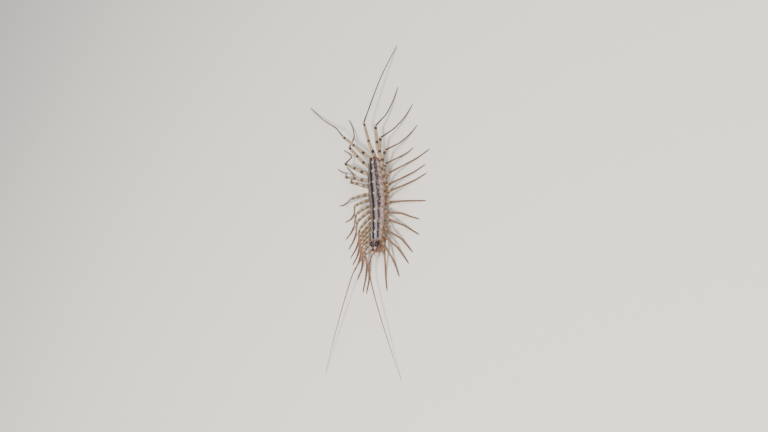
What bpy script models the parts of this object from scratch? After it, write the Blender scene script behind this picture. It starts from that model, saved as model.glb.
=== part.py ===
"""House centipede (Scutigera coleoptrata), life size, as a still museum model.

Frame: metres, +Z up, head towards -Y, the animal's left side towards +X.
All lengths below are millimetres and all angles are degrees; they are turned
into metres where the meshes are made.  Every foot ends in a small flat at
z = 0, the level that the animal stands on.
"""
import math

import bmesh
import bpy
from mathutils import Vector

MM = 0.001

# ------------------------------------------------------------ driving sizes
SHIFT_X = 8.205            # brings the middle of the whole outline to x = 0
SHIFT_Y = -4.37            # and to y = 0

NECK_Y = -10.72            # back of the head
HEAD_LENGTH = 3.00
HEAD_TURN = -10.0          # the head looks a little to the animal's right
HEAD_SIDE = -0.04          # and sits this far to the left on the neck
TRUNK_FRONT_Y = -10.64
TRUNK_REAR_Y = 13.75

AXIS_MEAN = -0.66          # the back bends gently to the animal's right
AXIS_SWAY = 0.62
AXIS_CREST_Y = -4.0
AXIS_HALF_WAVE = 17.0

NAPE_HALF_WIDTH = 1.95     # half width over the plates behind the head
BACK_HALF_WIDTH = 2.62     # and behind the middle, where the back is widest
BACK_SWELLS_Y = -1.0       # half way between the two
BACK_SWELL = 2.2
TAIL_TAPER = 0.36
RIDGE_Z = 4.35             # top of the back at the middle
RIDGE_FALL = (0.0034, 0.0018)   # drop of the ridge per mm squared, front and rear
EAVES_Z = 2.62             # lower side edge of the back plates
ARCH_POWER = 2.6           # how flat the back is across

PLATE_THICK = 0.20
PLATE_LIFT = 0.30          # a plate's rear edge rides over the next plate
PLATE_OVERHANG = 0.26
PLATE_NOTCH = 0.22         # shallow notch at the rear edge for the air slit

EAVES_CLEAR = 0.55         # flank of the trunk, inside the plate edge
FLANK_TOP_Z = 2.78
FLANK_LOW_Z = 1.48
BELLY_Z = 1.30

GAP = 0.03                 # clearance between touching pieces

LEG_PAIRS = 15
FIRST_HIP_Y = -10.24
HIP_PITCH = 1.60           # spacing of the hips, which widens towards the rear
HIP_STRETCH = 0.0008
HIP_Z = 1.94
HIP_RADIUS = 0.355
HIP_OUT = 0.80             # hip and trochanter reach past the flank
LAST_HIP_X = 0.55          # the last pair springs from the rear of the trunk
LAST_HIP_Z = 2.38
LEG_SIDES = 6
FOOT_RADIUS = 0.292        # hexagon radius: 0.5 mm thick over the flats
SHIN_RADIUS = 0.32
FOOT_FLAT = 1.0            # length of the flat that stands on the ground

ANTENNA_LENGTH = 33.6
ANTENNA_BASE_X = 0.60      # from the middle of the face
ANTENNA_BASE_AHEAD = 2.74  # from the neck
ANTENNA_BASE_Z = 3.40
ANTENNA_SOCKET = 0.48      # radius of the socket sunk in the face
ANTENNA_TIP_Z = 0.56

# Rear edges of the eight back plates.  The fourth, over three leg pairs, is
# the longest.
PLATE_REAR_Y = (-8.76, -5.75, -2.38, 2.57, 6.12, 9.74, 12.65, 14.40)

# ---------------------------------------------------------------- the stance
# One line for each leg: thigh heading and reach, knee height, shin heading
# and reach, foot heading and reach.  A heading is measured from straight out
# to the side, positive towards the tail; a reach is measured on the ground.
STANCE = {
    "left": (
        (-88, 3.4, 2.6, -106, 2.9, -92, 7.2),
        (-79, 4.3, 3.8, -81, 2.8, -74, 5.4),
        (-76, 3.7, 3.9, -55, 3.2, -60, 5.6),
        (-67, 4.1, 3.9, -42, 3.0, -56, 5.1),
        (-52, 3.5, 4.0, -27, 2.9, -40.8, 5.3),
        (-54, 2.6, 3.9, 0, 2.4, -30, 5.7),
        (-29, 2.6, 4.0, 30, 2.0, -15, 7.3),
        (6, 2.8, 4.0, 48, 2.9, 13, 7.1),
        (17, 2.2, 3.9, 43, 3.6, 16, 7.0),
        (41, 3.4, 4.0, 40, 4.3, 18, 7.6),
        (65, 4.1, 4.0, 46, 3.4, 26, 4.6),
        (65, 6.1, 4.8, 51, 3.7, 42, 6.9),
        (83, 8.7, 4.5, 51, 4.1, 53, 8.9),
        (93, 11.8, 4.2, 65, 4.5, 73, 10.3),
        (102.6, 12.7, 4.9, 77, 4.3, 72, 24.6),
    ),
    "right": (
        (-61, 2.9, 3.5, -85, 3.3, -78, 7.1),
        (-50, 3.4, 3.5, -85, 3.8, -75, 7.7),
        (-52, 3.9, 3.4, -60, 3.3, -66, 6.1),
        (-55, 4.4, 3.6, -52, 3.6, -52, 5.1),
        (-56, 4.8, 3.6, -41, 3.4, -51, 4.8),
        (-54, 4.9, 3.7, -35, 3.1, -45, 5.1),
        (-42, 4.7, 3.8, -26, 2.9, -48, 5.2),
        (-35, 4.4, 3.8, -26, 3.4, -34, 4.7),
        (-22, 4.2, 3.9, -10, 2.6, -12, 4.3),
        (-10, 5.1, 4.1, 22, 4.2, 9, 4.0),
        (28, 5.7, 4.1, 71, 4.2, 52, 6.6),
        (24, 7.4, 4.3, 59, 3.9, 39, 6.6),
        (38, 9.1, 4.3, 95, 3.2, 49, 7.4),
        (55, 10.4, 4.3, 87, 4.8, 67, 10.4),
        (48.9, 13.4, 5.7, 55, 6.0, 48, 26.0),
    ),
}
THIGH_SPLIT = 0.42         # share of the thigh's reach made by its first joint
# The trailing last pair is held higher: first joint share, joint height,
# ankle height and height half way down the long foot.
LAST_PAIR = {
    "left": dict(split=0.23, turn=-14.0, joint_z=5.5, ankle_z=4.2, mid_z=2.9, bow=0.1),
    "right": dict(split=0.45, turn=0.5, joint_z=5.2, ankle_z=5.0, mid_z=2.2, bow=-0.5),
}
# Sideways bow of the foot, in mm, where it isn't straight.
FOOT_BOW = {("left", 1): -0.35, ("left", 7): 0.15, ("right", 1): -0.2,
            ("right", 3): -0.3, ("right", 9): -0.25, ("right", 12): -0.2,
            ("right", 13): 0.35, ("right", 14): 0.2, ("left", 13): -0.2}

# Antennae: final heading from straight ahead, the turn near the base with the
# lengths over which it eases in and fades, and a further bend with its place
# and softness.
ANTENNAE = {
    "left": dict(final=15.5, turn=-100.0, fade=2.7, ease=0.5, bend=0.0, at=1.0, soft=1.0),
    "right": dict(final=-25.5, turn=-60.0, fade=1.5, ease=0.5, bend=-23.0, at=6.9, soft=0.7),
}

# ------------------------------------------------------------------ materials
COLOURS = {
    "plate": ((0.36, 0.30, 0.27), 0.38),
    "trunk": ((0.42, 0.27, 0.19), 0.50),
    "head": ((0.34, 0.18, 0.12), 0.36),
    "eye": ((0.015, 0.015, 0.022), 0.18),
    "antenna": ((0.50, 0.22, 0.09), 0.45),
    "fang": ((0.40, 0.20, 0.10), 0.35),
    "leg": ((0.44, 0.29, 0.17), 0.42),
}


def material(kind, name):
    colour, rough = COLOURS[kind]
    mat = bpy.data.materials.new(name)
    mat.use_nodes = True
    shader = mat.node_tree.nodes["Principled BSDF"]
    shader.inputs["Base Color"].default_value = (*colour, 1.0)
    shader.inputs["Roughness"].default_value = rough
    shader.inputs["Metallic"].default_value = 0.0
    return mat


# ---------------------------------------------------------------- mesh making
def make(name, kind, points, faces):
    """One closed mesh object from points in mm and its faces."""
    bm = bmesh.new()
    verts = [bm.verts.new(((p[0] + SHIFT_X) * MM, (p[1] + SHIFT_Y) * MM, p[2] * MM))
             for p in points]
    for face in faces:
        bm.faces.new([verts[i] for i in face])
    bmesh.ops.recalc_face_normals(bm, faces=bm.faces)
    mesh = bpy.data.meshes.new(name)
    bm.to_mesh(mesh)
    bm.free()
    mesh.shade_smooth()
    mesh.set_sharp_from_angle(angle=math.radians(50))
    obj = bpy.data.objects.new(name, mesh)
    bpy.context.scene.collection.objects.link(obj)
    mesh.materials.append(material(kind, name))
    return obj


def loft(name, kind, sections):
    """Closed loft through rings that all have the same number of points."""
    count = len(sections[0])
    points = [p for ring in sections for p in ring]
    faces = []
    for r in range(len(sections) - 1):
        for k in range(count):
            a, b = r * count + k, r * count + (k + 1) % count
            faces.append((a, b, b + count, a + count))
    faces.append(tuple(range(count)))
    last = (len(sections) - 1) * count
    faces.append(tuple(range(last, last + count)))
    return make(name, kind, points, faces)


def swept(name, kind, path, radii, sides, flat_end=0, deep=None):
    """Tube along a path; its last rings stand upright on the ground.

    deep tells how much taller than wide the tube is at each point.
    """
    rings = []
    up = Vector((0, 0, 1))
    for i, here in enumerate(path):
        back = (here - path[i - 1]).normalized() if i else None
        ahead = (path[i + 1] - here).normalized() if i + 1 < len(path) else None
        if back is None:
            along = ahead
        elif ahead is None:
            along = back
        else:
            along = (back + ahead).normalized()
        if flat_end and i >= len(path) - flat_end:
            along = Vector((along.x, along.y, 0)).normalized()
        side = along.cross(up).normalized()
        rise = side.cross(along).normalized()
        ring = []
        for k in range(sides):
            turn = 2 * math.pi * k / sides
            tall = deep[i] if deep else 1.0
            ring.append(here + radii[i] * (math.cos(turn) * side
                                           + tall * math.sin(turn) * rise))
        rings.append(ring)
    return loft(name, kind, rings)


def rounded(points, cuts):
    """Path with each inner corner replaced by a short bend of three points.

    Also tells for each point of the path its corner and its step in the bend.
    """
    path, place = [points[0]], [(0, 0)]
    for i in range(1, len(points) - 1):
        a, b, c = points[i - 1], points[i], points[i + 1]
        cut = cuts[i]
        if cut <= 0:
            path.append(b)
            place.append((i, 0))
            continue
        before = b + (a - b).normalized() * cut
        after = b + (c - b).normalized() * cut
        middle = (before + 2 * b + after) / 4
        path += [before, middle, after]
        place += [(i, 0), (i, 1), (i, 2)]
    path.append(points[-1])
    place.append((len(points) - 1, 0))
    return path, place


# --------------------------------------------------------------- body outline
def axis_x(y):
    return AXIS_MEAN + AXIS_SWAY * math.cos(math.pi * (y - AXIS_CREST_Y) / AXIS_HALF_WAVE)


def half_width(y):
    swell = 1 / (1 + math.exp(-(y - BACK_SWELLS_Y) / BACK_SWELL))
    taper = TAIL_TAPER * min(1.1, max(0.0, y + 1.0) / 14.5) ** 3.6
    return (NAPE_HALF_WIDTH + (BACK_HALF_WIDTH - NAPE_HALF_WIDTH) * swell) * (1 - taper)


def ridge_z(y):
    return RIDGE_Z - RIDGE_FALL[0 if y < 0 else 1] * y * y


def back_point(u, y, lift=0.0):
    """Point on the back: u runs from -1 at the right edge to 1 at the left.

    A lift raises the middle and flares the steep sides outward.
    """
    top = ridge_z(y)
    z = top - (top - EAVES_Z) * abs(u) ** ARCH_POWER
    flare = lift * math.copysign(abs(u) ** 1.6, u)
    return Vector((axis_x(y) + u * half_width(y) + 0.75 * flare, y,
                   z + lift * (1 - 0.55 * abs(u) ** 2.5)))


# --------------------------------------------------------------- back plates
def plate_point(u, t, front, rear):
    length = rear - front
    y = front + t * length
    y -= PLATE_NOTCH * math.exp(-(u / 0.28) ** 2) * t ** 6     # notch at the rear
    y -= 0.45 * abs(u) ** 5 * max(0.0, 2 * t - 1)              # rounded rear corners
    y += 0.25 * abs(u) ** 5 * max(0.0, 1 - 3 * t)              # rounded front corners
    lift = PLATE_LIFT * max(t, 0.0) ** 1.5
    return back_point(u, y, lift)


def back_plate(name, front, rear, columns=10, rows=4):
    outer, inner = [], []
    step = 0.004
    for r in range(rows + 1):
        t = r / rows
        for c in range(columns + 1):
            u = -1 + 2 * c / columns
            u = math.copysign(abs(u) ** 0.85, u)
            p = plate_point(u, t, front, rear)
            du = plate_point(u + step, t, front, rear) - plate_point(u - step, t, front, rear)
            dt = plate_point(u, t + step, front, rear) - plate_point(u, t - step, front, rear)
            normal = du.cross(dt).normalized()
            outer.append(p)
            inner.append(p - normal * PLATE_THICK)
    points = outer + inner
    width = columns + 1
    n = len(outer)
    faces = []
    for r in range(rows):
        for c in range(columns):
            a = r * width + c
            faces.append((a, a + 1, a + width + 1, a + width))
            faces.append((n + a, n + a + width, n + a + width + 1, n + a + 1))
    rim = [c for c in range(width)]
    rim += [r * width + columns for r in range(1, rows + 1)]
    rim += [rows * width + c for c in range(columns - 1, -1, -1)]
    rim += [r * width for r in range(rows - 1, 0, -1)]
    for a, b in zip(rim, rim[1:] + rim[:1]):
        faces.append((a, n + a, n + b, b))
    return make(name, "plate", points, faces)


# --------------------------------------------------------------------- trunk
def hip_y(pair):
    return FIRST_HIP_Y + (pair - 1) * HIP_PITCH + HIP_STRETCH * (pair - 1) ** 3


def flank_x(y):
    return half_width(y) - EAVES_CLEAR


def trunk_section(y):
    wide = flank_x(y)
    top = ridge_z(y) - PLATE_THICK - 0.09
    fall = ridge_z(y) - EAVES_Z
    half = [
        (0.0, top),
        (0.45 * wide, top - 0.02 - fall * (0.45 * wide / half_width(y)) ** ARCH_POWER),
        (0.80 * wide, top - 0.05 - fall * (0.80 * wide / half_width(y)) ** ARCH_POWER),
        (wide, FLANK_TOP_Z),
        (wide, FLANK_LOW_Z),
        (0.60 * wide, BELLY_Z + 0.04),
        (0.0, BELLY_Z),
    ]
    x = axis_x(y)
    ring = [Vector((x + a, y, z)) for a, z in half]
    ring += [Vector((x - a, y, z)) for a, z in reversed(half[1:-1])]
    return ring


def trunk_stations():
    """Sections half way between hips, so each hip sits on one flat facet."""
    stations = [TRUNK_FRONT_Y]
    for pair in range(1, LEG_PAIRS - 1):
        stations.append((hip_y(pair) + hip_y(pair + 1)) / 2)
    stations.append(hip_y(LEG_PAIRS - 1) + HIP_PITCH / 2)
    stations.append(TRUNK_REAR_Y)
    return stations


def flank_frame(pair, side):
    """Foot point and outward direction on the facet that carries a hip."""
    stations = trunk_stations()
    y = hip_y(pair)
    for a, b in zip(stations, stations[1:]):
        if a <= y <= b:
            break
    start = Vector((axis_x(a) + side * flank_x(a), a, 0))
    end = Vector((axis_x(b) + side * flank_x(b), b, 0))
    share = (y - a) / (b - a)
    point = start.lerp(end, share)
    run = (end - start).normalized()
    outward = Vector((run.y, -run.x, 0)) * side
    return Vector((point.x, point.y, HIP_Z)), outward.normalized()


# ---------------------------------------------------------------------- legs
def heading(angle, side):
    a = math.radians(angle)
    return Vector((side * math.cos(a), math.sin(a), 0))


def ankle_height(pair):
    return 1.10 + 0.95 / (1 + math.exp(-(pair - 11.8) / 0.5))


def thigh_rise(side_name, pair):
    """Share of the climb made by the first joint; the right front thighs climb evenly."""
    return 0.86 if side_name == "left" else 0.50 if pair <= 10 else 0.74


def thigh_radius(side_name, pair):
    """Thighs are slim in front and stouter on the long rear pairs.

    On the left side the front thighs lie close together along the body.
    """
    front = {"left": 0.36, "right": 0.40}[side_name]
    return front + (0.50 - front) / (1 + math.exp(-(pair - 9.0) / 1.3))


def thigh_depth(side_name, pair):
    """How much taller than wide a thigh is; the front ones are flattened most."""
    front = {"left": 1.60, "right": 1.30}[side_name]
    return front - (front - 1.10) / (1 + math.exp(-(pair - 9.0) / 1.3))


def leg_path(side_name, pair):
    side = 1 if side_name == "left" else -1
    thigh, reach, knee_z, shin, shin_reach, foot, foot_reach = STANCE[side_name][pair - 1]
    foot_z = FOOT_RADIUS * math.cos(math.pi / LEG_SIDES)
    if pair == LEG_PAIRS:
        last = LAST_PAIR[side_name]
        hip = Vector((axis_x(TRUNK_REAR_Y) + side * LAST_HIP_X, TRUNK_REAR_Y + GAP, LAST_HIP_Z))
        outward = Vector((0, 1, 0))
        out, turn, split = 0.6, last["turn"], last["split"]
        joint_z, ankle_z, mid_z, bow = (last["joint_z"], last["ankle_z"],
                                        last["mid_z"], last["bow"])
    else:
        hip, outward = flank_frame(pair, side)
        hip = hip + outward * GAP
        out, turn, split = HIP_OUT, 0.0, THIGH_SPLIT
        joint_z = HIP_Z + thigh_rise(side_name, pair) * (knee_z - HIP_Z)
        ankle_z = ankle_height(pair)
        mid_z = max(0.40, 0.38 * ankle_z)
        bow = FOOT_BOW.get((side_name, pair), 0.0)
    trochanter = hip + outward * out
    knee = trochanter + heading(thigh, side) * reach
    knee.z = knee_z
    joint = trochanter + heading(thigh + turn, side) * reach * split
    joint.z = joint_z
    ankle = knee + heading(shin, side) * shin_reach
    ankle.z = ankle_z
    toe = ankle + heading(foot, side) * foot_reach
    toe.z = foot_z
    across = Vector((-math.sin(math.radians(foot)) * side, math.cos(math.radians(foot)), 0))
    mid = (ankle + toe) / 2 + across * bow
    mid.z = mid_z
    flat = toe + (Vector((mid.x - toe.x, mid.y - toe.y, 0))).normalized() * FOOT_FLAT
    r = thigh_radius(side_name, pair)
    points = [hip, trochanter, joint, knee, ankle, mid, flat, toe]
    cuts = [0, 0.22, 0.45, 0.32, 0.35, 0.0, 0.0, 0]
    path, place = rounded(points, cuts)
    widths = {0: [HIP_RADIUS], 1: [HIP_RADIUS - 0.01] * 3, 2: [0.97 * r, r, 0.95 * r],
              3: [0.86 * r, 0.78 * r, SHIN_RADIUS], 4: [0.30] * 3}
    radii = [widths.get(corner, [FOOT_RADIUS])[step] for corner, step in place]
    d = thigh_depth(side_name, pair)
    depths = {2: [d, d, d], 3: [d, 0.5 + 0.5 * d, 1.0]}
    deep = [depths.get(corner, [1.0] * 3)[step] for corner, step in place]
    return path, radii, deep


# ------------------------------------------------------------------ antennae
def on_head(x, ahead, z):
    """Point given from the neck; the turn of the head eases in behind the eyes."""
    turn = math.radians(HEAD_TURN) * min(1.0, ahead / 0.8)
    middle = axis_x(NECK_Y) + HEAD_SIDE
    return Vector((middle + x * math.cos(turn) + ahead * math.sin(turn),
                   NECK_Y + x * math.sin(turn) - ahead * math.cos(turn), z))


def antenna_base(side):
    return on_head(side * ANTENNA_BASE_X, ANTENNA_BASE_AHEAD, ANTENNA_BASE_Z)


def antenna_path(side_name, rings=30):
    side = 1 if side_name == "left" else -1
    a = ANTENNAE[side_name]
    start = antenna_base(side)
    path, radii = [], []
    fine = 240
    here = start.copy()
    length = ANTENNA_LENGTH
    wanted = [length * (k / (rings - 1)) ** 1.35 for k in range(rings)]
    s = 0.0
    step = length / fine
    k = 0
    for i in range(fine + 1):
        if k < rings and s >= wanted[k] - 1e-6:
            drop = (ANTENNA_BASE_Z - ANTENNA_TIP_Z) * (s / length) ** 1.85
            path.append(Vector((here.x, here.y, ANTENNA_BASE_Z - drop)))
            radii.append(0.33 - 0.04 * min(1.0, s / 3.0))
            k += 1
        ahead = a["final"] + a["turn"] * math.exp(-s / a["fade"]) * (1 - math.exp(-s / a["ease"]))
        ahead += a["bend"] / (1 + math.exp((s - a["at"]) / a["soft"]))
        turn = math.radians(ahead)
        here = here + Vector((math.sin(turn), -math.cos(turn), 0)) * step
        s += step
    return path, radii


# ----------------------------------------------------------------------- head
def head_section(t):
    """Rounded section of the head capsule; t is 0 at the neck, 1 at the face."""
    bulge = math.sin(math.pi * (0.27 + 0.66 * t)) ** 0.6
    wide = 1.44 * bulge * (1 - 0.10 * t)
    high = 0.98 * (1 - 0.38 * t ** 2.2)
    middle = 2.86 - 0.10 * t
    ring = []
    for k in range(16):
        a = 2 * math.pi * k / 16
        c, s = math.cos(a), math.sin(a)
        ring.append(on_head(wide * math.copysign(abs(c) ** 0.85, c), t * HEAD_LENGTH,
                            middle + high * math.copysign(abs(s) ** 0.90, s)))
    return ring


EYE_X, EYE_AHEAD, EYE_Z = 0.94, 1.02, 3.33
EYE_SIZE = (0.50, 0.72, 0.52)


def ellipsoid(name, kind, centre, size, lean=0.0, around=12, rows=7):
    rings = []
    points = [Vector((0, 0, 1))]
    for r in range(1, rows):
        a = math.pi * r / rows
        for k in range(around):
            b = 2 * math.pi * k / around
            points.append(Vector((math.sin(a) * math.cos(b), math.sin(a) * math.sin(b),
                                  math.cos(a))))
    points.append(Vector((0, 0, -1)))
    faces = [(0, 1 + k, 1 + (k + 1) % around) for k in range(around)]
    for r in range(rows - 2):
        for k in range(around):
            a = 1 + r * around + k
            b = 1 + r * around + (k + 1) % around
            faces.append((a, a + around, b + around, b))
    last = len(points) - 1
    start = 1 + (rows - 2) * around
    faces += [(last, start + (k + 1) % around, start + k) for k in range(around)]
    turn = math.radians(lean)
    placed = []
    for p in points:
        q = Vector((p.x * size[0], p.y * size[1], p.z * size[2]))
        q = Vector((q.x * math.cos(turn) - q.y * math.sin(turn),
                    q.x * math.sin(turn) + q.y * math.cos(turn), q.z))
        placed.append(q + centre)
    return make(name, kind, placed, faces)


def cut_away(obj, centre, size, lean=0.0):
    """Sink a socket into obj with an ellipsoid cutter."""
    tool = ellipsoid("cutter", "eye", centre, size, lean)
    tool.hide_render = True
    tool.display_type = "WIRE"
    cut = obj.modifiers.new("socket", "BOOLEAN")
    cut.operation = "DIFFERENCE"
    cut.solver = "EXACT"
    cut.object = tool


def build_head():
    sections = [head_section(t) for t in (0.0, 0.12, 0.30, 0.50, 0.68, 0.84, 0.95, 1.0)]
    head = loft("head", "head", sections)
    for side_name, side in (("left", 1), ("right", -1)):
        centre = on_head(side * EYE_X, EYE_AHEAD, EYE_Z)
        lean = HEAD_TURN - side * 14.0
        ellipsoid("eye_" + side_name, "eye", centre, EYE_SIZE, lean)
        cut_away(head, centre, tuple(s + GAP for s in EYE_SIZE), lean)
        cut_away(head, antenna_base(side), (ANTENNA_SOCKET,) * 3)
    return head


def fang_path(side):
    """Poison claw: from under the neck it curves forward to a point."""
    points = [
        on_head(side * 0.58, 0.26, 1.50),
        on_head(side * 1.02, 0.80, 1.42),
        on_head(side * 1.00, 1.75, 1.36),
        on_head(side * 0.62, 2.50, 1.38),
        on_head(side * 0.42, 2.92, 1.45),
    ]
    radii = [0.32, 0.38, 0.34, 0.27, 0.26]
    return points, radii


# ---------------------------------------------------------------------- build
def main():
    for old in list(bpy.data.objects):
        bpy.data.objects.remove(old, do_unlink=True)

    loft("trunk", "trunk", [trunk_section(y) for y in trunk_stations()])

    front = TRUNK_FRONT_Y + 0.05
    for index, rear in enumerate(PLATE_REAR_Y, start=1):
        end = rear + (PLATE_OVERHANG if index < len(PLATE_REAR_Y) else 0.0)
        rows = max(3, round((end - front) / 0.8))
        back_plate("plate_%d" % index, front, end, rows=rows)
        front = rear

    build_head()
    for side_name, side in (("left", 1), ("right", -1)):
        path, radii = antenna_path(side_name)
        swept("antenna_" + side_name, "antenna", path, radii, 6)
        path, radii = fang_path(side)
        swept("fang_" + side_name, "fang", path, radii, 8)
        for pair in range(1, LEG_PAIRS + 1):
            path, radii, deep = leg_path(side_name, pair)
            swept("leg_%s_%02d" % (side_name, pair), "leg", path, radii, LEG_SIDES,
                  flat_end=2, deep=deep)


main()
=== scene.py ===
"""Looks for the house centipede model: fine shells, legs, feelers and head on the
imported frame.  Lengths in the design functions are millimetres, as in the solids,
and are turned into metres where meshes are made."""
import math

import bmesh
import bpy
import numpy as np
from mathutils import Matrix, Vector


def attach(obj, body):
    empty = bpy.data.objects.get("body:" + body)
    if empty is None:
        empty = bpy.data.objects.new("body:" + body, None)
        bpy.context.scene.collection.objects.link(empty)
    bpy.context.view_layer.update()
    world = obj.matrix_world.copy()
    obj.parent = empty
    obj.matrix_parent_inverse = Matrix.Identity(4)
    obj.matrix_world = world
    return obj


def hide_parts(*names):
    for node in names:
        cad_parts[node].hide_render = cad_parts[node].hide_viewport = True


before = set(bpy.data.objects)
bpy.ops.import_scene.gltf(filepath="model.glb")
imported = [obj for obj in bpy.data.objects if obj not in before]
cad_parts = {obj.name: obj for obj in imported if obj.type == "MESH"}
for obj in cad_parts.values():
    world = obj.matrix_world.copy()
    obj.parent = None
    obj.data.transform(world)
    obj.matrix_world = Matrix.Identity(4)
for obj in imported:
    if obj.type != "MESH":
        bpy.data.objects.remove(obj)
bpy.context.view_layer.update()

MM = 0.001
RNG = np.random.default_rng(15)

# ------------------------------------------------------------------ the design
SHIFT = np.array([8.205, -4.37, 0.0])
NECK_Y, HEAD_LENGTH, HEAD_TURN, HEAD_SIDE = -10.72, 3.00, -10.0, -0.04
TRUNK_FRONT_Y, TRUNK_REAR_Y = -10.64, 13.75
AXIS_MEAN, AXIS_SWAY, AXIS_CREST_Y, AXIS_HALF_WAVE = -0.66, 0.62, -4.0, 17.0
NAPE_HALF_WIDTH, BACK_HALF_WIDTH, TAIL_TAPER = 1.95, 2.62, 0.36
BACK_SWELLS_Y, BACK_SWELL = -1.0, 2.2
RIDGE_Z, RIDGE_FALL = 4.35, (0.0034, 0.0018)
EAVES_Z, ARCH_POWER = 2.62, 2.6
PLATE_LIFT, PLATE_OVERHANG, PLATE_NOTCH = 0.30, 0.26, 0.22
EAVES_CLEAR = 0.55
FLANK_TOP_Z, FLANK_LOW_Z, BELLY_Z = 2.78, 1.48, 1.30
LEG_PAIRS = 15
FIRST_HIP_Y, HIP_PITCH, HIP_STRETCH = -10.24, 1.60, 0.0008
HIP_Z, HIP_RADIUS, HIP_OUT = 1.94, 0.355, 0.80
LAST_HIP_X, LAST_HIP_Z = 0.55, 2.38
ANTENNA_LENGTH = 33.6
ANTENNA_BASE_X, ANTENNA_BASE_AHEAD, ANTENNA_BASE_Z = 0.60, 2.74, 3.40
ANTENNA_TIP_Z = 0.56
PLATE_REAR_Y = (-8.76, -5.75, -2.38, 2.57, 6.12, 9.74, 12.65, 14.40)
THIGH_SPLIT = 0.42
EYE_X, EYE_AHEAD, EYE_Z = 0.94, 1.02, 3.33
EYE_SIZE = (0.50, 0.72, 0.52)

# thigh heading, reach, knee height, shin heading, reach, foot heading, reach
STANCE = {
    "left": (
        (-88, 3.4, 2.6, -106, 2.9, -92, 7.2),
        (-79, 4.3, 3.8, -81, 2.8, -74, 5.4),
        (-76, 3.7, 3.9, -55, 3.2, -60, 5.6),
        (-67, 4.1, 3.9, -42, 3.0, -56, 5.1),
        (-52, 3.5, 4.0, -27, 2.9, -40.8, 5.3),
        (-54, 2.6, 3.9, 0, 2.4, -30, 5.7),
        (-29, 2.6, 4.0, 30, 2.0, -15, 7.3),
        (6, 2.8, 4.0, 48, 2.9, 13, 7.1),
        (17, 2.2, 3.9, 43, 3.6, 16, 7.0),
        (41, 3.4, 4.0, 40, 4.3, 18, 7.6),
        (65, 4.1, 4.0, 46, 3.4, 26, 4.6),
        (65, 6.1, 4.8, 51, 3.7, 42, 6.9),
        (83, 8.7, 4.5, 51, 4.1, 53, 8.9),
        (93, 11.8, 4.2, 65, 4.5, 73, 10.3),
        (102.6, 12.7, 4.9, 77, 4.3, 72, 24.6),
    ),
    "right": (
        (-61, 2.9, 3.5, -85, 3.3, -78, 7.1),
        (-50, 3.4, 3.5, -85, 3.8, -75, 7.7),
        (-52, 3.9, 3.4, -60, 3.3, -66, 6.1),
        (-55, 4.4, 3.6, -52, 3.6, -52, 5.1),
        (-56, 4.8, 3.6, -41, 3.4, -51, 4.8),
        (-54, 4.9, 3.7, -35, 3.1, -45, 5.1),
        (-42, 4.7, 3.8, -26, 2.9, -48, 5.2),
        (-35, 4.4, 3.8, -26, 3.4, -34, 4.7),
        (-22, 4.2, 3.9, -10, 2.6, -12, 4.3),
        (-10, 5.1, 4.1, 22, 4.2, 9, 4.0),
        (28, 5.7, 4.1, 71, 4.2, 52, 6.6),
        (24, 7.4, 4.3, 59, 3.9, 39, 6.6),
        (38, 9.1, 4.3, 95, 3.2, 49, 7.4),
        (55, 10.4, 4.3, 87, 4.8, 67, 10.4),
        (48.9, 13.4, 5.7, 55, 6.0, 48, 26.0),
    ),
}
LAST_PAIR = {
    "left": dict(split=0.23, turn=-14.0, joint_z=5.5, ankle_z=4.2, mid_z=2.9, bow=0.1),
    "right": dict(split=0.45, turn=0.5, joint_z=5.2, ankle_z=5.0, mid_z=2.2, bow=-0.5),
}
FOOT_BOW = {("left", 1): -0.35, ("left", 7): 0.15, ("right", 1): -0.2,
            ("right", 3): -0.3, ("right", 9): -0.25, ("right", 12): -0.2,
            ("right", 13): 0.35, ("right", 14): 0.2, ("left", 13): -0.2}
ANTENNAE = {
    "left": dict(final=15.5, turn=-100.0, fade=2.7, ease=0.5, bend=0.0, at=1.0, soft=1.0),
    "right": dict(final=-25.5, turn=-60.0, fade=1.5, ease=0.5, bend=-23.0, at=6.9, soft=0.7),
}


def vec(x, y, z):
    return np.array([x, y, z], float)


def unit(v):
    return v / np.linalg.norm(v)


def ease(x):
    x = np.clip(x, 0.0, 1.0)
    return x * x * (3 - 2 * x)


def axis_x(y):
    return AXIS_MEAN + AXIS_SWAY * np.cos(math.pi * (y - AXIS_CREST_Y) / AXIS_HALF_WAVE)


def half_width(y):
    y = np.asarray(y, float)
    swell = 1 / (1 + np.exp(-(y - BACK_SWELLS_Y) / BACK_SWELL))
    taper = TAIL_TAPER * np.clip((y + 1.0) / 14.5, 0, 1.1) ** 3.6
    return (NAPE_HALF_WIDTH + (BACK_HALF_WIDTH - NAPE_HALF_WIDTH) * swell) * (1 - taper)


def ridge_z(y):
    y = np.asarray(y, float)
    return RIDGE_Z - np.where(y < 0, RIDGE_FALL[0], RIDGE_FALL[1]) * y * y


def flank_x(y):
    return half_width(y) - EAVES_CLEAR


def hip_y(pair):
    return FIRST_HIP_Y + (pair - 1) * HIP_PITCH + HIP_STRETCH * (pair - 1) ** 3


def trunk_stations():
    stations = [TRUNK_FRONT_Y]
    for pair in range(1, LEG_PAIRS - 1):
        stations.append((hip_y(pair) + hip_y(pair + 1)) / 2)
    stations.append(hip_y(LEG_PAIRS - 1) + HIP_PITCH / 2)
    stations.append(TRUNK_REAR_Y)
    return stations


def flank_frame(pair, side):
    stations = trunk_stations()
    y = hip_y(pair)
    for a, b in zip(stations, stations[1:]):
        if a <= y <= b:
            break
    start = vec(axis_x(a) + side * flank_x(a), a, 0)
    end = vec(axis_x(b) + side * flank_x(b), b, 0)
    share = (y - a) / (b - a)
    point = start + (end - start) * share
    run = unit(end - start)
    outward = vec(run[1], -run[0], 0) * side
    return vec(point[0], point[1], HIP_Z), unit(outward)


def heading(angle, side):
    a = math.radians(angle)
    return vec(side * math.cos(a), math.sin(a), 0)


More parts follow.
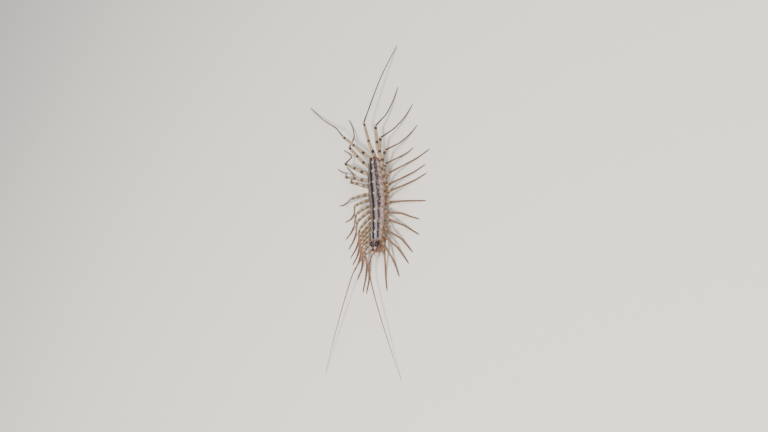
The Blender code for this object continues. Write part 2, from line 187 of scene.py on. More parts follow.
def ankle_height(pair):
    return 1.10 + 0.95 / (1 + math.exp(-(pair - 11.8) / 0.5))


def thigh_rise(side_name, pair):
    return 0.86 if side_name == "left" else 0.50 if pair <= 10 else 0.74


def thigh_radius(side_name, pair):
    front = {"left": 0.36, "right": 0.40}[side_name]
    return front + (0.50 - front) / (1 + math.exp(-(pair - 9.0) / 1.3))


def thigh_depth(side_name, pair):
    front = {"left": 1.60, "right": 1.30}[side_name]
    return front - (front - 1.10) / (1 + math.exp(-(pair - 9.0) / 1.3))


def leg_points(side_name, pair):
    """Hip, trochanter, joint, knee, ankle, middle of the foot, start and end of its tip."""
    side = 1 if side_name == "left" else -1
    thigh, reach, knee_z, shin, shin_reach, foot, foot_reach = STANCE[side_name][pair - 1]
    if pair == LEG_PAIRS:
        last = LAST_PAIR[side_name]
        hip = vec(axis_x(TRUNK_REAR_Y) + side * LAST_HIP_X, TRUNK_REAR_Y, LAST_HIP_Z)
        outward = vec(0, 1, 0)
        out, turn, split = 0.6, last["turn"], last["split"]
        joint_z, ankle_z, mid_z, bow = (last["joint_z"], last["ankle_z"],
                                        last["mid_z"], last["bow"])
    else:
        hip, outward = flank_frame(pair, side)
        out, turn, split = HIP_OUT, 0.0, THIGH_SPLIT
        joint_z = HIP_Z + thigh_rise(side_name, pair) * (knee_z - HIP_Z)
        ankle_z = ankle_height(pair)
        mid_z = max(0.40, 0.38 * ankle_z)
        bow = FOOT_BOW.get((side_name, pair), 0.0)
    trochanter = hip + outward * out
    knee = trochanter + heading(thigh, side) * reach
    knee[2] = knee_z
    joint = trochanter + heading(thigh + turn, side) * reach * split
    joint[2] = joint_z
    ankle = knee + heading(shin, side) * shin_reach
    ankle[2] = ankle_z
    toe = ankle + heading(foot, side) * foot_reach
    toe[2] = 0.0
    across = vec(-math.sin(math.radians(foot)) * side, math.cos(math.radians(foot)), 0)
    mid = (ankle + toe) / 2 + across * bow
    mid[2] = mid_z
    flat = toe + unit(vec(mid[0] - toe[0], mid[1] - toe[1], 0)) * 1.0
    return hip, outward, trochanter, joint, knee, ankle, mid, flat, toe


def on_head(x, ahead, z):
    x, ahead, z = np.broadcast_arrays(*(np.asarray(q, float) for q in (x, ahead, z)))
    turn = math.radians(HEAD_TURN) * np.clip(ahead / 0.8, None, 1.0)
    middle = axis_x(NECK_Y) + HEAD_SIDE
    return np.stack([middle + x * np.cos(turn) + ahead * np.sin(turn),
                     NECK_Y + x * np.sin(turn) - ahead * np.cos(turn), z], axis=-1)


def antenna_line(side_name, count=1200):
    """Centre line of a feeler with the length run so far at each point."""
    side = 1 if side_name == "left" else -1
    a = ANTENNAE[side_name]
    here = on_head(side * ANTENNA_BASE_X, ANTENNA_BASE_AHEAD, ANTENNA_BASE_Z)
    step = ANTENNA_LENGTH / count
    points, runs, s = [], [], 0.0
    for _ in range(count + 1):
        share = s / ANTENNA_LENGTH
        z = ANTENNA_BASE_Z - (ANTENNA_BASE_Z - ANTENNA_TIP_Z) * share ** 1.85
        z -= (ANTENNA_TIP_Z - 0.11) * share ** 2.6
        points.append(vec(here[0], here[1], z))
        runs.append(s)
        ahead = a["final"] + a["turn"] * math.exp(-s / a["fade"]) * (1 - math.exp(-s / a["ease"]))
        ahead += a["bend"] / (1 + math.exp((s - a["at"]) / a["soft"]))
        turn = math.radians(ahead)
        here = here + vec(math.sin(turn), -math.cos(turn), 0) * step
        s += step
    return np.array(points), np.array(runs)


# -------------------------------------------------------------------- colours
def rgb(r, g, b):
    """Display colour to scene-linear."""
    return np.array([((c / 255 + 0.055) / 1.055) ** 2.4 if c > 10 else c / 255 / 12.92
                     for c in (r, g, b)])


TAN = rgb(176, 150, 118)
OLIVE = rgb(136, 114, 84)
DARK = rgb(24, 18, 27)
PALE = rgb(206, 166, 128)
ORANGE = rgb(172, 104, 50)
BROWN = rgb(124, 82, 50)
THIGH_BROWN = rgb(112, 83, 62)
SHIN_BROWN = rgb(72, 50, 34)
FOOT_BROWN = rgb(112, 74, 43)
FOOT_END = rgb(106, 69, 40)
FOOT_OLIVE = rgb(90, 72, 50)
FOOT_PALE = rgb(122, 100, 72)
COXA = rgb(124, 84, 60)
LILAC = rgb(172, 144, 138)
FLANK = rgb(164, 134, 124)
BELLY = rgb(178, 150, 118)
REDDISH = rgb(100, 66, 54)
FACE = rgb(126, 84, 52)
FRONS_PALE_AND_GLINT = rgb(196, 184, 182)
OCHRE = rgb(116, 82, 60)
CHEEK = rgb(150, 112, 94)
HEAD_DARK = rgb(28, 19, 24)
CLAW = rgb(126, 88, 66)
CLAW_TIP = rgb(70, 42, 30)
BRISTLE = rgb(58, 38, 26)


def mix(a, b, w):
    w = np.asarray(w, float)[..., None]
    return a * (1 - w) + b * w


# ------------------------------------------------------------------ mesh making
class Shape:
    """Collects points in mm, faces and a tint for each point."""

    def __init__(self):
        self.points, self.quads, self.tris, self.tints = [], [], [], []
        self.extra = {}
        self.count = 0

    def add(self, points, quads=None, tris=None, tint=TAN, **extra):
        points = np.asarray(points, float).reshape(-1, 3)
        n = len(points)
        self.points.append(points)
        self.tints.append(np.broadcast_to(np.asarray(tint, float), (n, 3)).copy())
        if quads is not None and len(quads):
            self.quads.append(np.asarray(quads, int) + self.count)
        if tris is not None and len(tris):
            self.tris.append(np.asarray(tris, int) + self.count)
        for name, value in extra.items():
            self.extra.setdefault(name, []).append(
                np.broadcast_to(np.asarray(value, float), (n,)).copy())
        self.count += n

    def build(self, name, materials, nodes=(), sharp=None, body="root"):
        points = (np.concatenate(self.points) + SHIFT) * MM
        quads = np.concatenate(self.quads) if self.quads else np.zeros((0, 4), int)
        tris = np.concatenate(self.tris) if self.tris else np.zeros((0, 3), int)
        mesh = bpy.data.meshes.new(name)
        mesh.from_pydata(points, [], quads.tolist() + tris.tolist())
        bm = bmesh.new()
        bm.from_mesh(mesh)
        bmesh.ops.recalc_face_normals(bm, faces=bm.faces)
        bm.to_mesh(mesh)
        bm.free()
        mesh.shade_smooth()
        if sharp:
            mesh.set_sharp_from_angle(angle=math.radians(sharp))
        tint = np.concatenate(self.tints)
        layer = mesh.attributes.new("tint", "FLOAT_COLOR", "POINT")
        layer.data.foreach_set("color", np.c_[tint, np.ones(len(tint))].ravel())
        for key, blocks in self.extra.items():
            layer = mesh.attributes.new(key, "FLOAT", "POINT")
            layer.data.foreach_set("value", np.concatenate(blocks))
        obj = bpy.data.objects.new(name, mesh)
        bpy.context.scene.collection.objects.link(obj)
        for m in materials if isinstance(materials, (list, tuple)) else [materials]:
            mesh.materials.append(m)
        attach(obj, body)
        if nodes:
            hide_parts(*nodes)
        return obj


def ring_faces(rings, sides):
    r = np.arange(rings - 1)[:, None] * sides
    k = np.arange(sides)[None, :]
    a = r + k
    b = r + (k + 1) % sides
    return np.stack([a, b, b + sides, a + sides], axis=-1).reshape(-1, 4)


def frames(path, up=(0, 0, 1)):
    """Directions along, to the side and up at each point, carried without twist."""
    path = np.asarray(path, float)
    along = np.gradient(path, axis=0)
    along /= np.linalg.norm(along, axis=1)[:, None]
    up = np.asarray(up, float)
    side = np.cross(along[0], up)
    if np.linalg.norm(side) < 1e-3:
        side = np.cross(along[0], (0, 1, 0))
    side = unit(side)
    sides = []
    for t in along:
        side = unit(side - t * np.dot(side, t))
        sides.append(side)
    sides = np.array(sides)
    return along, sides, np.cross(sides, along)


def tube(shape, path, radii, sides, tint, ridges=None, up=(0, 0, 1), cap=0.5, deep=None,
         **extra):
    """Closed tube.  ridges is (count, depth at each station); deep is height over width."""
    path = np.asarray(path, float)
    radii = np.asarray(radii, float)
    n = len(path)
    along, across, rise = frames(path, up)
    turn = 2 * math.pi * np.arange(sides) / sides
    wave = np.ones((n, sides))
    if ridges is not None:
        wave += ridges[1][:, None] * np.cos(ridges[0] * turn)[None, :]
    if deep is not None:
        rise = rise * np.asarray(deep, float)[:, None]
    radial = (np.cos(turn)[None, :, None] * across[:, None, :]
              + np.sin(turn)[None, :, None] * rise[:, None, :])
    rings = path[:, None, :] + radial * (radii[:, None] * wave)[..., None]
    points = np.concatenate([rings.reshape(-1, 3),
                             [path[0] - along[0] * radii[0] * cap,
                              path[-1] + along[-1] * radii[-1] * cap]])
    quads = ring_faces(n, sides)
    k = np.arange(sides)
    first, last = n * sides, n * sides + 1
    tris = np.concatenate([
        np.stack([np.full(sides, first), (k + 1) % sides, k], axis=-1),
        np.stack([np.full(sides, last), (n - 1) * sides + k, (n - 1) * sides + (k + 1) % sides],
                 axis=-1)])
    tint = np.asarray(tint, float)
    if tint.ndim == 2 and len(tint) == n:
        tint = np.concatenate([np.repeat(tint, sides, axis=0), tint[:1], tint[-1:]])
    spread = {}
    for key, value in extra.items():
        value = np.asarray(value, float)
        if value.ndim == 1 and len(value) == n:
            value = np.concatenate([np.repeat(value, sides), value[:1], value[-1:]])
        spread[key] = value
    shape.add(points, quads, tris, tint, **spread)
    return along, across, rise


def spines(shape, bases, directions, lengths, radii, tint, bend=None, **extra):
    """Tapering bristles, each a closed three-sided spike bent at its middle."""
    bases = np.asarray(bases, float).reshape(-1, 3)
    n = len(bases)
    if not n:
        return
    d = np.asarray(directions, float).reshape(-1, 3)
    d = d / np.linalg.norm(d, axis=1)[:, None]
    lengths = np.broadcast_to(np.asarray(lengths, float), (n,))[:, None]
    radii = np.broadcast_to(np.asarray(radii, float), (n,))[:, None]
    helper = np.where(np.abs(d[:, 2:3]) > 0.9, [[1.0, 0, 0]], [[0, 0, 1.0]])
    a = np.cross(d, helper)
    a /= np.linalg.norm(a, axis=1)[:, None]
    b = np.cross(d, a)
    lean = np.zeros_like(d) if bend is None else np.broadcast_to(np.asarray(bend, float), d.shape)
    points = np.zeros((n, 7, 3))
    for k in range(3):
        t = 2 * math.pi * k / 3
        spoke = math.cos(t) * a + math.sin(t) * b
        points[:, k] = bases - d * radii + spoke * radii
        points[:, 3 + k] = bases + d * lengths * 0.55 + spoke * radii * 0.55
    points[:, 6] = bases + d * lengths + lean * lengths
    local_quads = [(0, 1, 4, 3), (1, 2, 5, 4), (2, 0, 3, 5)]
    local_tris = [(0, 2, 1), (3, 4, 6), (4, 5, 6), (5, 3, 6)]
    offset = np.arange(n)[:, None, None] * 7
    shape.add(points.reshape(-1, 3), (np.array(local_quads)[None] + offset).reshape(-1, 4),
              (np.array(local_tris)[None] + offset).reshape(-1, 3), tint,
              **{k: 0.0 if v is None else v for k, v in extra.items()})


def bezier_corner(a, b, c, cut, count=9):
    start = b + unit(a - b) * cut
    end = b + unit(c - b) * cut
    t = np.linspace(0, 1, count)[:, None]
    return (1 - t) ** 2 * start + 2 * t * (1 - t) * b + t * t * end


def through(points, count=60):
    """Smooth curve through the given points (centripetal Catmull-Rom)."""
    p = [np.asarray(q, float) for q in points]
    out = []
    for i in range(1, len(p) - 2):
        p0, p1, p2, p3 = p[i - 1:i + 3]
        t0 = 0.0
        t1 = t0 + np.linalg.norm(p1 - p0) ** 0.5
        t2 = t1 + np.linalg.norm(p2 - p1) ** 0.5
        t3 = t2 + np.linalg.norm(p3 - p2) ** 0.5
        t = np.linspace(t1, t2, count, endpoint=i == len(p) - 3)[:, None]
        a1 = (t1 - t) / (t1 - t0) * p0 + (t - t0) / (t1 - t0) * p1
        a2 = (t2 - t) / (t2 - t1) * p1 + (t - t1) / (t2 - t1) * p2
        a3 = (t3 - t) / (t3 - t2) * p2 + (t - t2) / (t3 - t2) * p3
        b1 = (t2 - t) / (t2 - t0) * a1 + (t - t0) / (t2 - t0) * a2
        b2 = (t3 - t) / (t3 - t1) * a2 + (t - t1) / (t3 - t1) * a3
        out.append((t2 - t) / (t2 - t1) * b1 + (t - t1) / (t2 - t1) * b2)
    return np.concatenate(out)


def resample(points, runs_at):
    gaps = np.linalg.norm(np.diff(points, axis=0), axis=1)
    keep = np.concatenate([[True], gaps > 1e-6])
    points = points[keep]
    run = np.concatenate([[0], np.cumsum(np.linalg.norm(np.diff(points, axis=0), axis=1))])
    return np.stack([np.interp(runs_at, run, points[:, i]) for i in range(3)], axis=-1)


def rising(stations, marks, end):
    """Stations up to the end, without any that fall on the one before."""
    stations = np.clip(np.array(stations), 0, end)
    keep = np.concatenate([[True], np.diff(stations) > 1e-4])
    return stations[keep], np.array(marks)[keep]


def run_of(points, mark):
    """Length run along a line of points up to the one nearest to mark."""
    run = np.concatenate([[0], np.cumsum(np.linalg.norm(np.diff(points, axis=0), axis=1))])
    return run[np.argmin(np.linalg.norm(points - mark, axis=1))]


# ------------------------------------------------------------------- materials
def new_material(name):
    mat = bpy.data.materials.new(name)
    mat.use_nodes = True
    tree = mat.node_tree
    return mat, tree, tree.nodes["Principled BSDF"]


def node(tree, kind, **values):
    made = tree.nodes.new(kind)
    for key, value in values.items():
        if key in made.inputs:
            made.inputs[key].default_value = value
        else:
            setattr(made, key, value)
    return made


def maths(tree, operation, a, b=None, c=None, clamp=False):
    made = tree.nodes.new("ShaderNodeMath")
    made.operation = operation
    made.use_clamp = clamp
    for socket, value in zip(made.inputs, (a, b, c)):
        if value is None:
            continue
        if isinstance(value, (int, float)):
            socket.default_value = value
        else:
            tree.links.new(value, socket)
    return made.outputs[0]


def noise(tree, coords, scale, detail=4.0, rough=0.55):
    made = node(tree, "ShaderNodeTexNoise", Scale=scale, Detail=detail, Roughness=rough)
    tree.links.new(coords, made.inputs["Vector"])
    return made.outputs[0]


def spread(tree, value, low, high, to_low, to_high):
    made = node(tree, "ShaderNodeMapRange")
    made.inputs["From Min"].default_value = low
    made.inputs["From Max"].default_value = high
    made.inputs["To Min"].default_value = to_low
    made.inputs["To Max"].default_value = to_high
    tree.links.new(value, made.inputs["Value"])
    return made.outputs[0]


def colour_mix(tree, a, b, factor, blend="MIX"):
    made = tree.nodes.new("ShaderNodeMix")
    made.data_type = "RGBA"
    made.blend_type = blend
    made.clamp_result = False
    for socket, value in ((made.inputs[0], factor), (made.inputs[6], a), (made.inputs[7], b)):
        if isinstance(value, (int, float)):
            socket.default_value = value
        elif isinstance(value, (tuple, list, np.ndarray)):
            socket.default_value = (*[float(v) for v in value][:3], 1.0)
        else:
            tree.links.new(value, socket)
    return made.outputs[2]


def finish_shell(tree, shader, coords, colour, rough, rough_spread, bumps, coat, coat_rough,
                 specular=0.5):
    """Colour, patchy gloss and fine relief of a horny shell."""
    links = tree.links
    links.new(colour, shader.inputs["Base Color"])
    patch = noise(tree, coords, 2600, 3)
    links.new(spread(tree, patch, 0.3, 0.7, rough - rough_spread, rough + rough_spread),
              shader.inputs["Roughness"])
    shader.inputs["Metallic"].default_value = 0.0
    shader.inputs["Coat Weight"].default_value = coat
    shader.inputs["Coat Roughness"].default_value = coat_rough
    shader.inputs["Specular IOR Level"].default_value = specular
    height = None
    for value, amount in bumps:
        scaled = maths(tree, "MULTIPLY", value, amount)
        height = scaled if height is None else maths(tree, "ADD", height, scaled)
    bump = node(tree, "ShaderNodeBump", Strength=0.9)
    bump.inputs["Distance"].default_value = 0.00003
    links.new(height, bump.inputs["Height"])
    links.new(bump.outputs[0], shader.inputs["Normal"])


def tinted_shell(name, rough=0.36, rough_spread=0.08, coat=0.25, coat_rough=0.18, speck=0.35,
                 specular=0.5, relief=1.0):
    mat, tree, shader = new_material(name)
    coords = node(tree, "ShaderNodeTexCoord").outputs["Object"]
    tint = node(tree, "ShaderNodeAttribute", attribute_name="tint").outputs["Color"]
    cloud = noise(tree, coords, 1500, 5, 0.6)
    shade = spread(tree, cloud, 0.25, 0.75, 1 - speck, 1 + speck * 0.7)
    grey = node(tree, "ShaderNodeCombineColor")
    for socket in grey.inputs:
        tree.links.new(shade, socket)
    colour = colour_mix(tree, tint, grey.outputs[0], 1.0, "MULTIPLY")
    dots = noise(tree, coords, 9000, 2, 0.5)
    dot_mask = spread(tree, dots, 0.60, 0.68, 0.0, 0.45)
    colour = colour_mix(tree, colour, (0.05, 0.028, 0.02), dot_mask)
    cells = node(tree, "ShaderNodeTexVoronoi", Scale=14000.0)
    tree.links.new(coords, cells.inputs["Vector"])
    finish_shell(tree, shader, coords, colour, rough, rough_spread,
                 [(cells.outputs["Distance"], 0.25 * relief),
                  (noise(tree, coords, 5000, 4), 0.45 * relief)],
                 coat, coat_rough, specular)
    return mat


def plate_material():
    """Back plates: three dark lengthwise stripes drawn from the place across the plate."""
    mat, tree, shader = new_material("plate_shell")
    coords = node(tree, "ShaderNodeTexCoord").outputs["Object"]
    tint = node(tree, "ShaderNodeAttribute", attribute_name="tint").outputs["Color"]
    across = node(tree, "ShaderNodeAttribute", attribute_name="across").outputs["Fac"]
    along = node(tree, "ShaderNodeAttribute", attribute_name="along").outputs["Fac"]
    top = node(tree, "ShaderNodeAttribute", attribute_name="outer").outputs["Fac"]
    wobble = maths(tree, "SUBTRACT", noise(tree, coords, 1700, 4, 0.6), 0.5)
    fine = maths(tree, "SUBTRACT", noise(tree, coords, 7000, 3, 0.6), 0.5)
    edge = maths(tree, "ADD", maths(tree, "MULTIPLY", wobble, 0.30),
                 maths(tree, "MULTIPLY", fine, 0.14))
    shade = spread(tree, noise(tree, coords, 1300, 5, 0.6), 0.25, 0.75, 0.70, 1.22)
    grey = node(tree, "ShaderNodeCombineColor")
    for socket in grey.inputs:
        tree.links.new(shade, socket)
    colour = colour_mix(tree, tint, grey.outputs[0], 1.0, "MULTIPLY")
    freckle = spread(tree, noise(tree, coords, 6200, 2, 0.5), 0.57, 0.68, 0.0, 0.5)
    colour = colour_mix(tree, colour, (0.10, 0.055, 0.045), freckle)
    cloud = spread(tree, noise(tree, coords, 1900, 3, 0.6), 0.52, 0.64, 0.0, 0.42)
    colour = colour_mix(tree, colour, rgb(120, 84, 66), cloud)

    def stripe(centre, width, soft, value):
        offset = maths(tree, "ABSOLUTE", maths(tree, "SUBTRACT", value, centre))
        offset = maths(tree, "ADD", offset, edge)
        made = node(tree, "ShaderNodeMapRange")
        made.interpolation_type = "SMOOTHSTEP"
        made.inputs["To Min"].default_value = 1.0
        made.inputs["To Max"].default_value = 0.0
        tree.links.new(offset, made.inputs["Value"])
        if isinstance(width, (int, float)):
            made.inputs["From Min"].default_value = width - soft
            made.inputs["From Max"].default_value = width + soft
        else:
            tree.links.new(maths(tree, "SUBTRACT", width, soft), made.inputs["From Min"])
            tree.links.new(maths(tree, "ADD", width, soft), made.inputs["From Max"])
        return made.outputs[0]

    # the lateral stripes are widest ahead of each plate's middle and break at its rear
    swell = maths(tree, "SINE", maths(tree, "MULTIPLY", along, 3.0))
    side = maths(tree, "ABSOLUTE", across)
    lane = node(tree, "ShaderNodeAttribute", attribute_name="lane").outputs["Fac"]
    beside = maths(tree, "SUBTRACT", side, lane)
    broad = node(tree, "ShaderNodeAttribute", attribute_name="broad").outputs["Fac"]
    right = maths(tree, "LESS_THAN", across, 0.0)
    side_width = maths(tree, "MULTIPLY",
                       maths(tree, "ADD", maths(tree, "MULTIPLY", swell, 0.085), 0.075), broad)
    side_width = maths(tree, "ADD", side_width, maths(tree, "MULTIPLY", right, 0.050))
    gaps = spread(tree, noise(tree, coords, 1150, 2, 0.5), 0.36, 0.46, 0.45, 1.0)
    gaps = maths(tree, "ADD", gaps, maths(tree, "MULTIPLY", right, 0.35), clamp=True)
    lateral = maths(tree, "MULTIPLY", stripe(0.0, side_width, 0.040, beside), gaps)
    colour = colour_mix(tree, colour, rgb(50, 37, 44), maths(tree, "MULTIPLY", lateral, top))
    # painted highlight: a pale line along the inner side of each lateral stripe
    painted_highlight_line = maths(tree, "MULTIPLY", stripe(-0.19, 0.020, 0.035, beside), 0.35)
    colour = colour_mix(tree, colour, rgb(180, 166, 170), maths(tree, "MULTIPLY", painted_highlight_line, top))
    mid_width = maths(tree, "ADD", maths(tree, "MULTIPLY", swell, 0.030), 0.140)
    median = stripe(0.0, mid_width, 0.035, across)
    blue = colour_mix(tree, rgb(24, 25, 30), rgb(24, 38, 50),
                      spread(tree, noise(tree, coords, 1500, 3), 0.46, 0.66, 0.0, 1.0))
    colour = colour_mix(tree, colour, blue, maths(tree, "MULTIPLY", median, top))
    # pale ring round the air slit at the rear edge, with the dark slit in it
    stoma = node(tree, "ShaderNodeAttribute", attribute_name="stoma").outputs["Fac"]
    slit = node(tree, "ShaderNodeAttribute", attribute_name="slit").outputs["Fac"]
    colour = colour_mix(tree, colour, rgb(186, 174, 140), stoma)
    colour = colour_mix(tree, colour, rgb(52, 34, 24), slit)
    cells = node(tree, "ShaderNodeTexVoronoi", Scale=11000.0)
    tree.links.new(coords, cells.inputs["Vector"])
    finish_shell(tree, shader, coords, colour, 0.34, 0.09,
                 [(cells.outputs["Distance"], 0.35), (noise(tree, coords, 4200, 5), 0.55)],
                 0.09, 0.16, 0.20)
    return mat


def eye_material():
    mat, tree, shader = new_material("eye_black")
    coords = node(tree, "ShaderNodeTexCoord").outputs["Object"]
    tint = node(tree, "ShaderNodeAttribute", attribute_name="tint").outputs["Color"]
    # painted sheen: a bluish tone mixed into the black in patches
    painted_sheen = noise(tree, coords, 1400, 3)
    colour = colour_mix(tree, tint, (0.006, 0.012, 0.024),
                        spread(tree, painted_sheen, 0.4, 0.65, 0.0, 0.8))
    tree.links.new(colour, shader.inputs["Base Color"])
    tree.links.new(spread(tree, noise(tree, coords, 5200, 2), 0.3, 0.7, 0.10, 0.24),
                   shader.inputs["Roughness"])
    shader.inputs["Coat Weight"].default_value = 0.25
    shader.inputs["Coat Roughness"].default_value = 0.08
    shader.inputs["Specular IOR Level"].default_value = 0.32
    return mat


LEG_SHELL = tinted_shell("leg_shell", rough=0.40, coat=0.16, coat_rough=0.20, speck=0.32,
                         specular=0.40)
TRUNK_SKIN = tinted_shell("trunk_skin", rough=0.48, coat=0.12, speck=0.30, relief=1.6)
HEAD_SHELL = tinted_shell("head_shell", rough=0.34, coat=0.25, coat_rough=0.12, speck=0.28,
                          specular=0.35)
ANTENNA_SHELL = tinted_shell("antenna_shell", rough=0.42, coat=0.15, speck=0.22)
CLAW_SHELL = tinted_shell("claw_shell", rough=0.34, coat=0.18, coat_rough=0.12, speck=0.22,
                          specular=0.35)
PLATE_SHELL = plate_material()
EYE_BLACK = eye_material()


# ------------------------------------------------------------------------ legs
def bump_at(s, centre, width):
    return np.exp(-((s - centre) / width) ** 2)


def build_leg(side_name, pair):
    side = 1 if side_name == "left" else -1
    hip, outward, troch, joint, knee, ankle, mid, flat, toe = leg_points(side_name, pair)
    rear = 1 / (1 + math.exp(-(pair - 10.5) / 1.1))        # 0 in front, 1 on the rear legs
    left_front = (1 - rear) * (side > 0)
    thigh_r = thigh_radius(side_name, pair) * 0.95
    deep = thigh_depth(side_name, pair)
    shin_r = 0.325 - 0.070 * rear
    foot_r = 0.262 - 0.050 * rear
    tip_r = 0.098
    mark = 0.40 - 0.10 * left_front + 0.58 * rear      # strength of the dark bands
    hip_tint = mix(COXA, LILAC, left_front * 0.62)
    shape = Shape()

    # ---- thigh and shin: straight pieces with short bends between them
    root = hip - outward * 0.25
    bends = [bezier_corner(root, troch, joint, 0.24), bezier_corner(troch, joint, knee, 0.34),
             bezier_corner(joint, knee, ankle, 0.24)]
    # the foot leaves the ankle along the shin and eases down on to the ground
    toe = toe + vec(0, 0, tip_r + 0.004)
    flat = flat + vec(0, 0, foot_r * 0.62)
    mid = mid - vec(0, 0, 0.12)
    before = ankle - unit(ankle - knee) * 0.8
    if pair == LEG_PAIRS:
        foot_line = through([before, ankle, mid, toe, toe + unit(toe - mid)], 90)
    else:
        foot_line = through([before, ankle, mid, flat, toe, toe + (toe - flat)], 60)
    foot_line[:, 2] = np.maximum(foot_line[:, 2], 0.055)
    line = np.concatenate([[root], *bends, foot_line])
    gaps = np.linalg.norm(np.diff(line, axis=0), axis=1)
    line = line[np.concatenate([[True], gaps > 1e-5])]
    total = np.sum(np.linalg.norm(np.diff(line, axis=0), axis=1))
    s_troch, s_joint = run_of(line, bends[0][4]), run_of(line, bends[1][4])
    s_knee, s_ankle = run_of(line, bends[2][4]), run_of(line, ankle)

    # ---- hip cone, trochanter ring and the two thigh pieces
    parts = [
        ("coxa", 0.0, s_troch - 0.20), ("trochanter", s_troch - 0.26, s_troch + 0.16),
        ("prefemur", s_troch + 0.10, s_joint), ("femur", s_joint - 0.10, s_knee),
        ("tibia", s_knee - 0.08, s_ankle),
    ]
    for part, a, b in parts:
        length = b - a
        count = max(8, int(length / 0.085))
        s = np.linspace(a, b, count)
        t = (s - a) / length
        path = resample(line, s)
        from_end = b - s
        from_start = s - a
        sides = 16
        tall = np.ones(count)
        if part == "coxa":
            radius = 0.375 - 0.05 * t - 0.05 * bump_at(s, a + 0.40, 0.07)
            tint = mix(hip_tint, mix(FLANK, COXA, 0.4), bump_at(s, a, 0.3))
            ridge = (3, np.full(count, 0.03))
        elif part == "trochanter":
            radius = 0.315 * (0.80 + 0.20 * np.sin(math.pi * np.clip(t * 1.05, 0, 1)) ** 0.5)
            tint = mix(PALE, hip_tint, 0.55 + 0.30 * left_front)
            ridge = (3, np.full(count, 0.02))
        elif part == "prefemur":
            radius = 0.325 + (thigh_r - 0.325) * ease(from_start / (0.5 * length))
            radius *= 1 + 0.05 * bump_at(from_end, 0.12, 0.12) - 0.22 * ease(1 - from_end / 0.07)
            tall = 1 + (deep - 1) * ease(from_start / 0.6)
            base = mix(TAN, OLIVE, 0.35 * (1 - t))
            base = mix(base, THIGH_BROWN, (1 - rear) * 0.06 + left_front * 0.74)
            centre, half = 0.57 * length, min(0.42, 0.24 * length)
            band = ease((half + 0.08 - np.abs(from_start - centre)) / 0.16)
            tint = mix(base, DARK, band * mark)
            tint = mix(tint, PALE, ease(1 - from_end / 0.20) * (1 - 0.7 * left_front))
            tint = mix(tint, hip_tint, ease(1 - from_start / (0.5 + 0.5 * left_front)) * 0.7)
            ridge = (6, 0.055 * ease(from_start / 0.5) * ease(from_end / 0.25))
        elif part == "femur":
            radius = thigh_r * (0.85 + 0.09 * ease(from_start / 0.4)) * (1 - 0.12 * t)
            radius *= 1 + 0.06 * bump_at(from_end, 0.10, 0.10) - 0.24 * ease(1 - from_end / 0.06)
            tall = deep - 0.5 * (deep - 1) * t ** 2
            base = mix(TAN, OLIVE, 0.30 * np.sin(math.pi * t))
            base = mix(base, THIGH_BROWN, (1 - rear) * 0.06 + left_front * 0.70)
            half = min(0.42, 0.13 * length)
            at_near = max(0.42 + half, 0.16 * length)
            at_far = max(0.36 + half, 0.15 * length)
            near = ease((half + 0.08 - np.abs(from_start - at_near)) / 0.16)
            far = ease((half + 0.08 - np.abs(from_end - at_far)) / 0.16)
            tint = mix(base, DARK, np.maximum(near * mark, far * np.minimum(1, mark * 1.08)))
            tint = mix(tint, PALE, ease(1 - from_end / 0.34) * (1 - 0.6 * left_front))
            tint = mix(tint, PALE, ease(1 - from_start / 0.18) * (0.8 - 0.6 * left_front))
            ridge = (6, 0.050 * ease(from_start / 0.4) * ease(from_end / 0.25))
        else:
            radius = shin_r * (0.92 + 0.08 * ease(from_start / 0.3)) * (1 - 0.34 * t)
            radius += left_front * 0.075 * (1 - t) ** 1.5 * ease(from_start / 0.5)
            radius *= 1 + 0.10 * bump_at(from_end, 0.08, 0.09) - 0.15 * ease(1 - from_end / 0.05)
            tall = 1 + 0.5 * (deep - 1) * ease(1 - from_start / 0.6)
            base = mix(mix(BROWN, TAN, 0.35), SHIN_BROWN, rear * 0.9)
            base = mix(base, THIGH_BROWN, left_front * 0.65)
            near = ease((0.34 - np.abs(from_start - 0.48)) / 0.2)
            far = ease((0.30 - np.abs(from_end - 0.50)) / 0.2)
            tint = mix(base * np.ones((count, 1)), DARK,
                       np.maximum(near * (0.45 + 0.45 * rear), far * (0.35 + 0.3 * rear)))
            tint = mix(tint, ORANGE, ease(1 - from_end / 0.20) * (0.70 - 0.25 * rear))
            tint = mix(tint, PALE, ease(1 - from_start / 0.16) * (0.9 - 0.4 * left_front))
            ridge = (4, 0.035 * np.ones(count))
            sides = 14
        along, across, rise = tube(shape, path, radius, sides, tint, ridges=ridge, cap=0.35,
                                   deep=tall)

        # ---- rows of small spines on the keels, and spurs at the far end
        if part in ("prefemur", "femur", "tibia"):
            rows = 6 if part != "tibia" else 4
            pitch = 0.24 if part != "tibia" else 0.30
            bases, directions, lengths = [], [], []
            for row in range(rows):
                turn = 2 * math.pi * row / rows + (0.0 if part != "tibia" else 0.2)
                for place in np.arange(0.30, length - 0.18, pitch):
                    place = place + RNG.uniform(-0.05, 0.05)
                    i = int(np.clip(place / length * (count - 1), 0, count - 1))
                    spoke = math.cos(turn) * across[i] + math.sin(turn) * rise[i]
                    bases.append(path[i] + spoke * radius[i] * 1.02)
                    directions.append(spoke * 0.75 + along[i] * 1.0)
                    lengths.append(RNG.uniform(0.09, 0.16) * (1.0 if part != "tibia" else 0.9))
            spines(shape, bases, directions, lengths, 0.014, mix(DARK, BROWN, 0.4))
            bases, directions, lengths = [], [], []
            i = max(0, count - 2)
            for turn, size in ((-0.35, 0.8), (0.6, 0.55), (1.57, 1.0), (2.55, 0.55), (3.5, 0.8),
                               (4.71, 0.9)):
                spoke = math.cos(turn) * across[i] + math.sin(turn) * rise[i]
                bases.append(path[i] + spoke * radius[i] * 0.92)
                directions.append(spoke * 0.45 + along[i] * 1.0)
                lengths.append(size * (0.46 if part == "prefemur" else 0.40 if part == "femur"
                                       else 0.34))
            spines(shape, bases, directions, lengths, 0.030, BRISTLE)

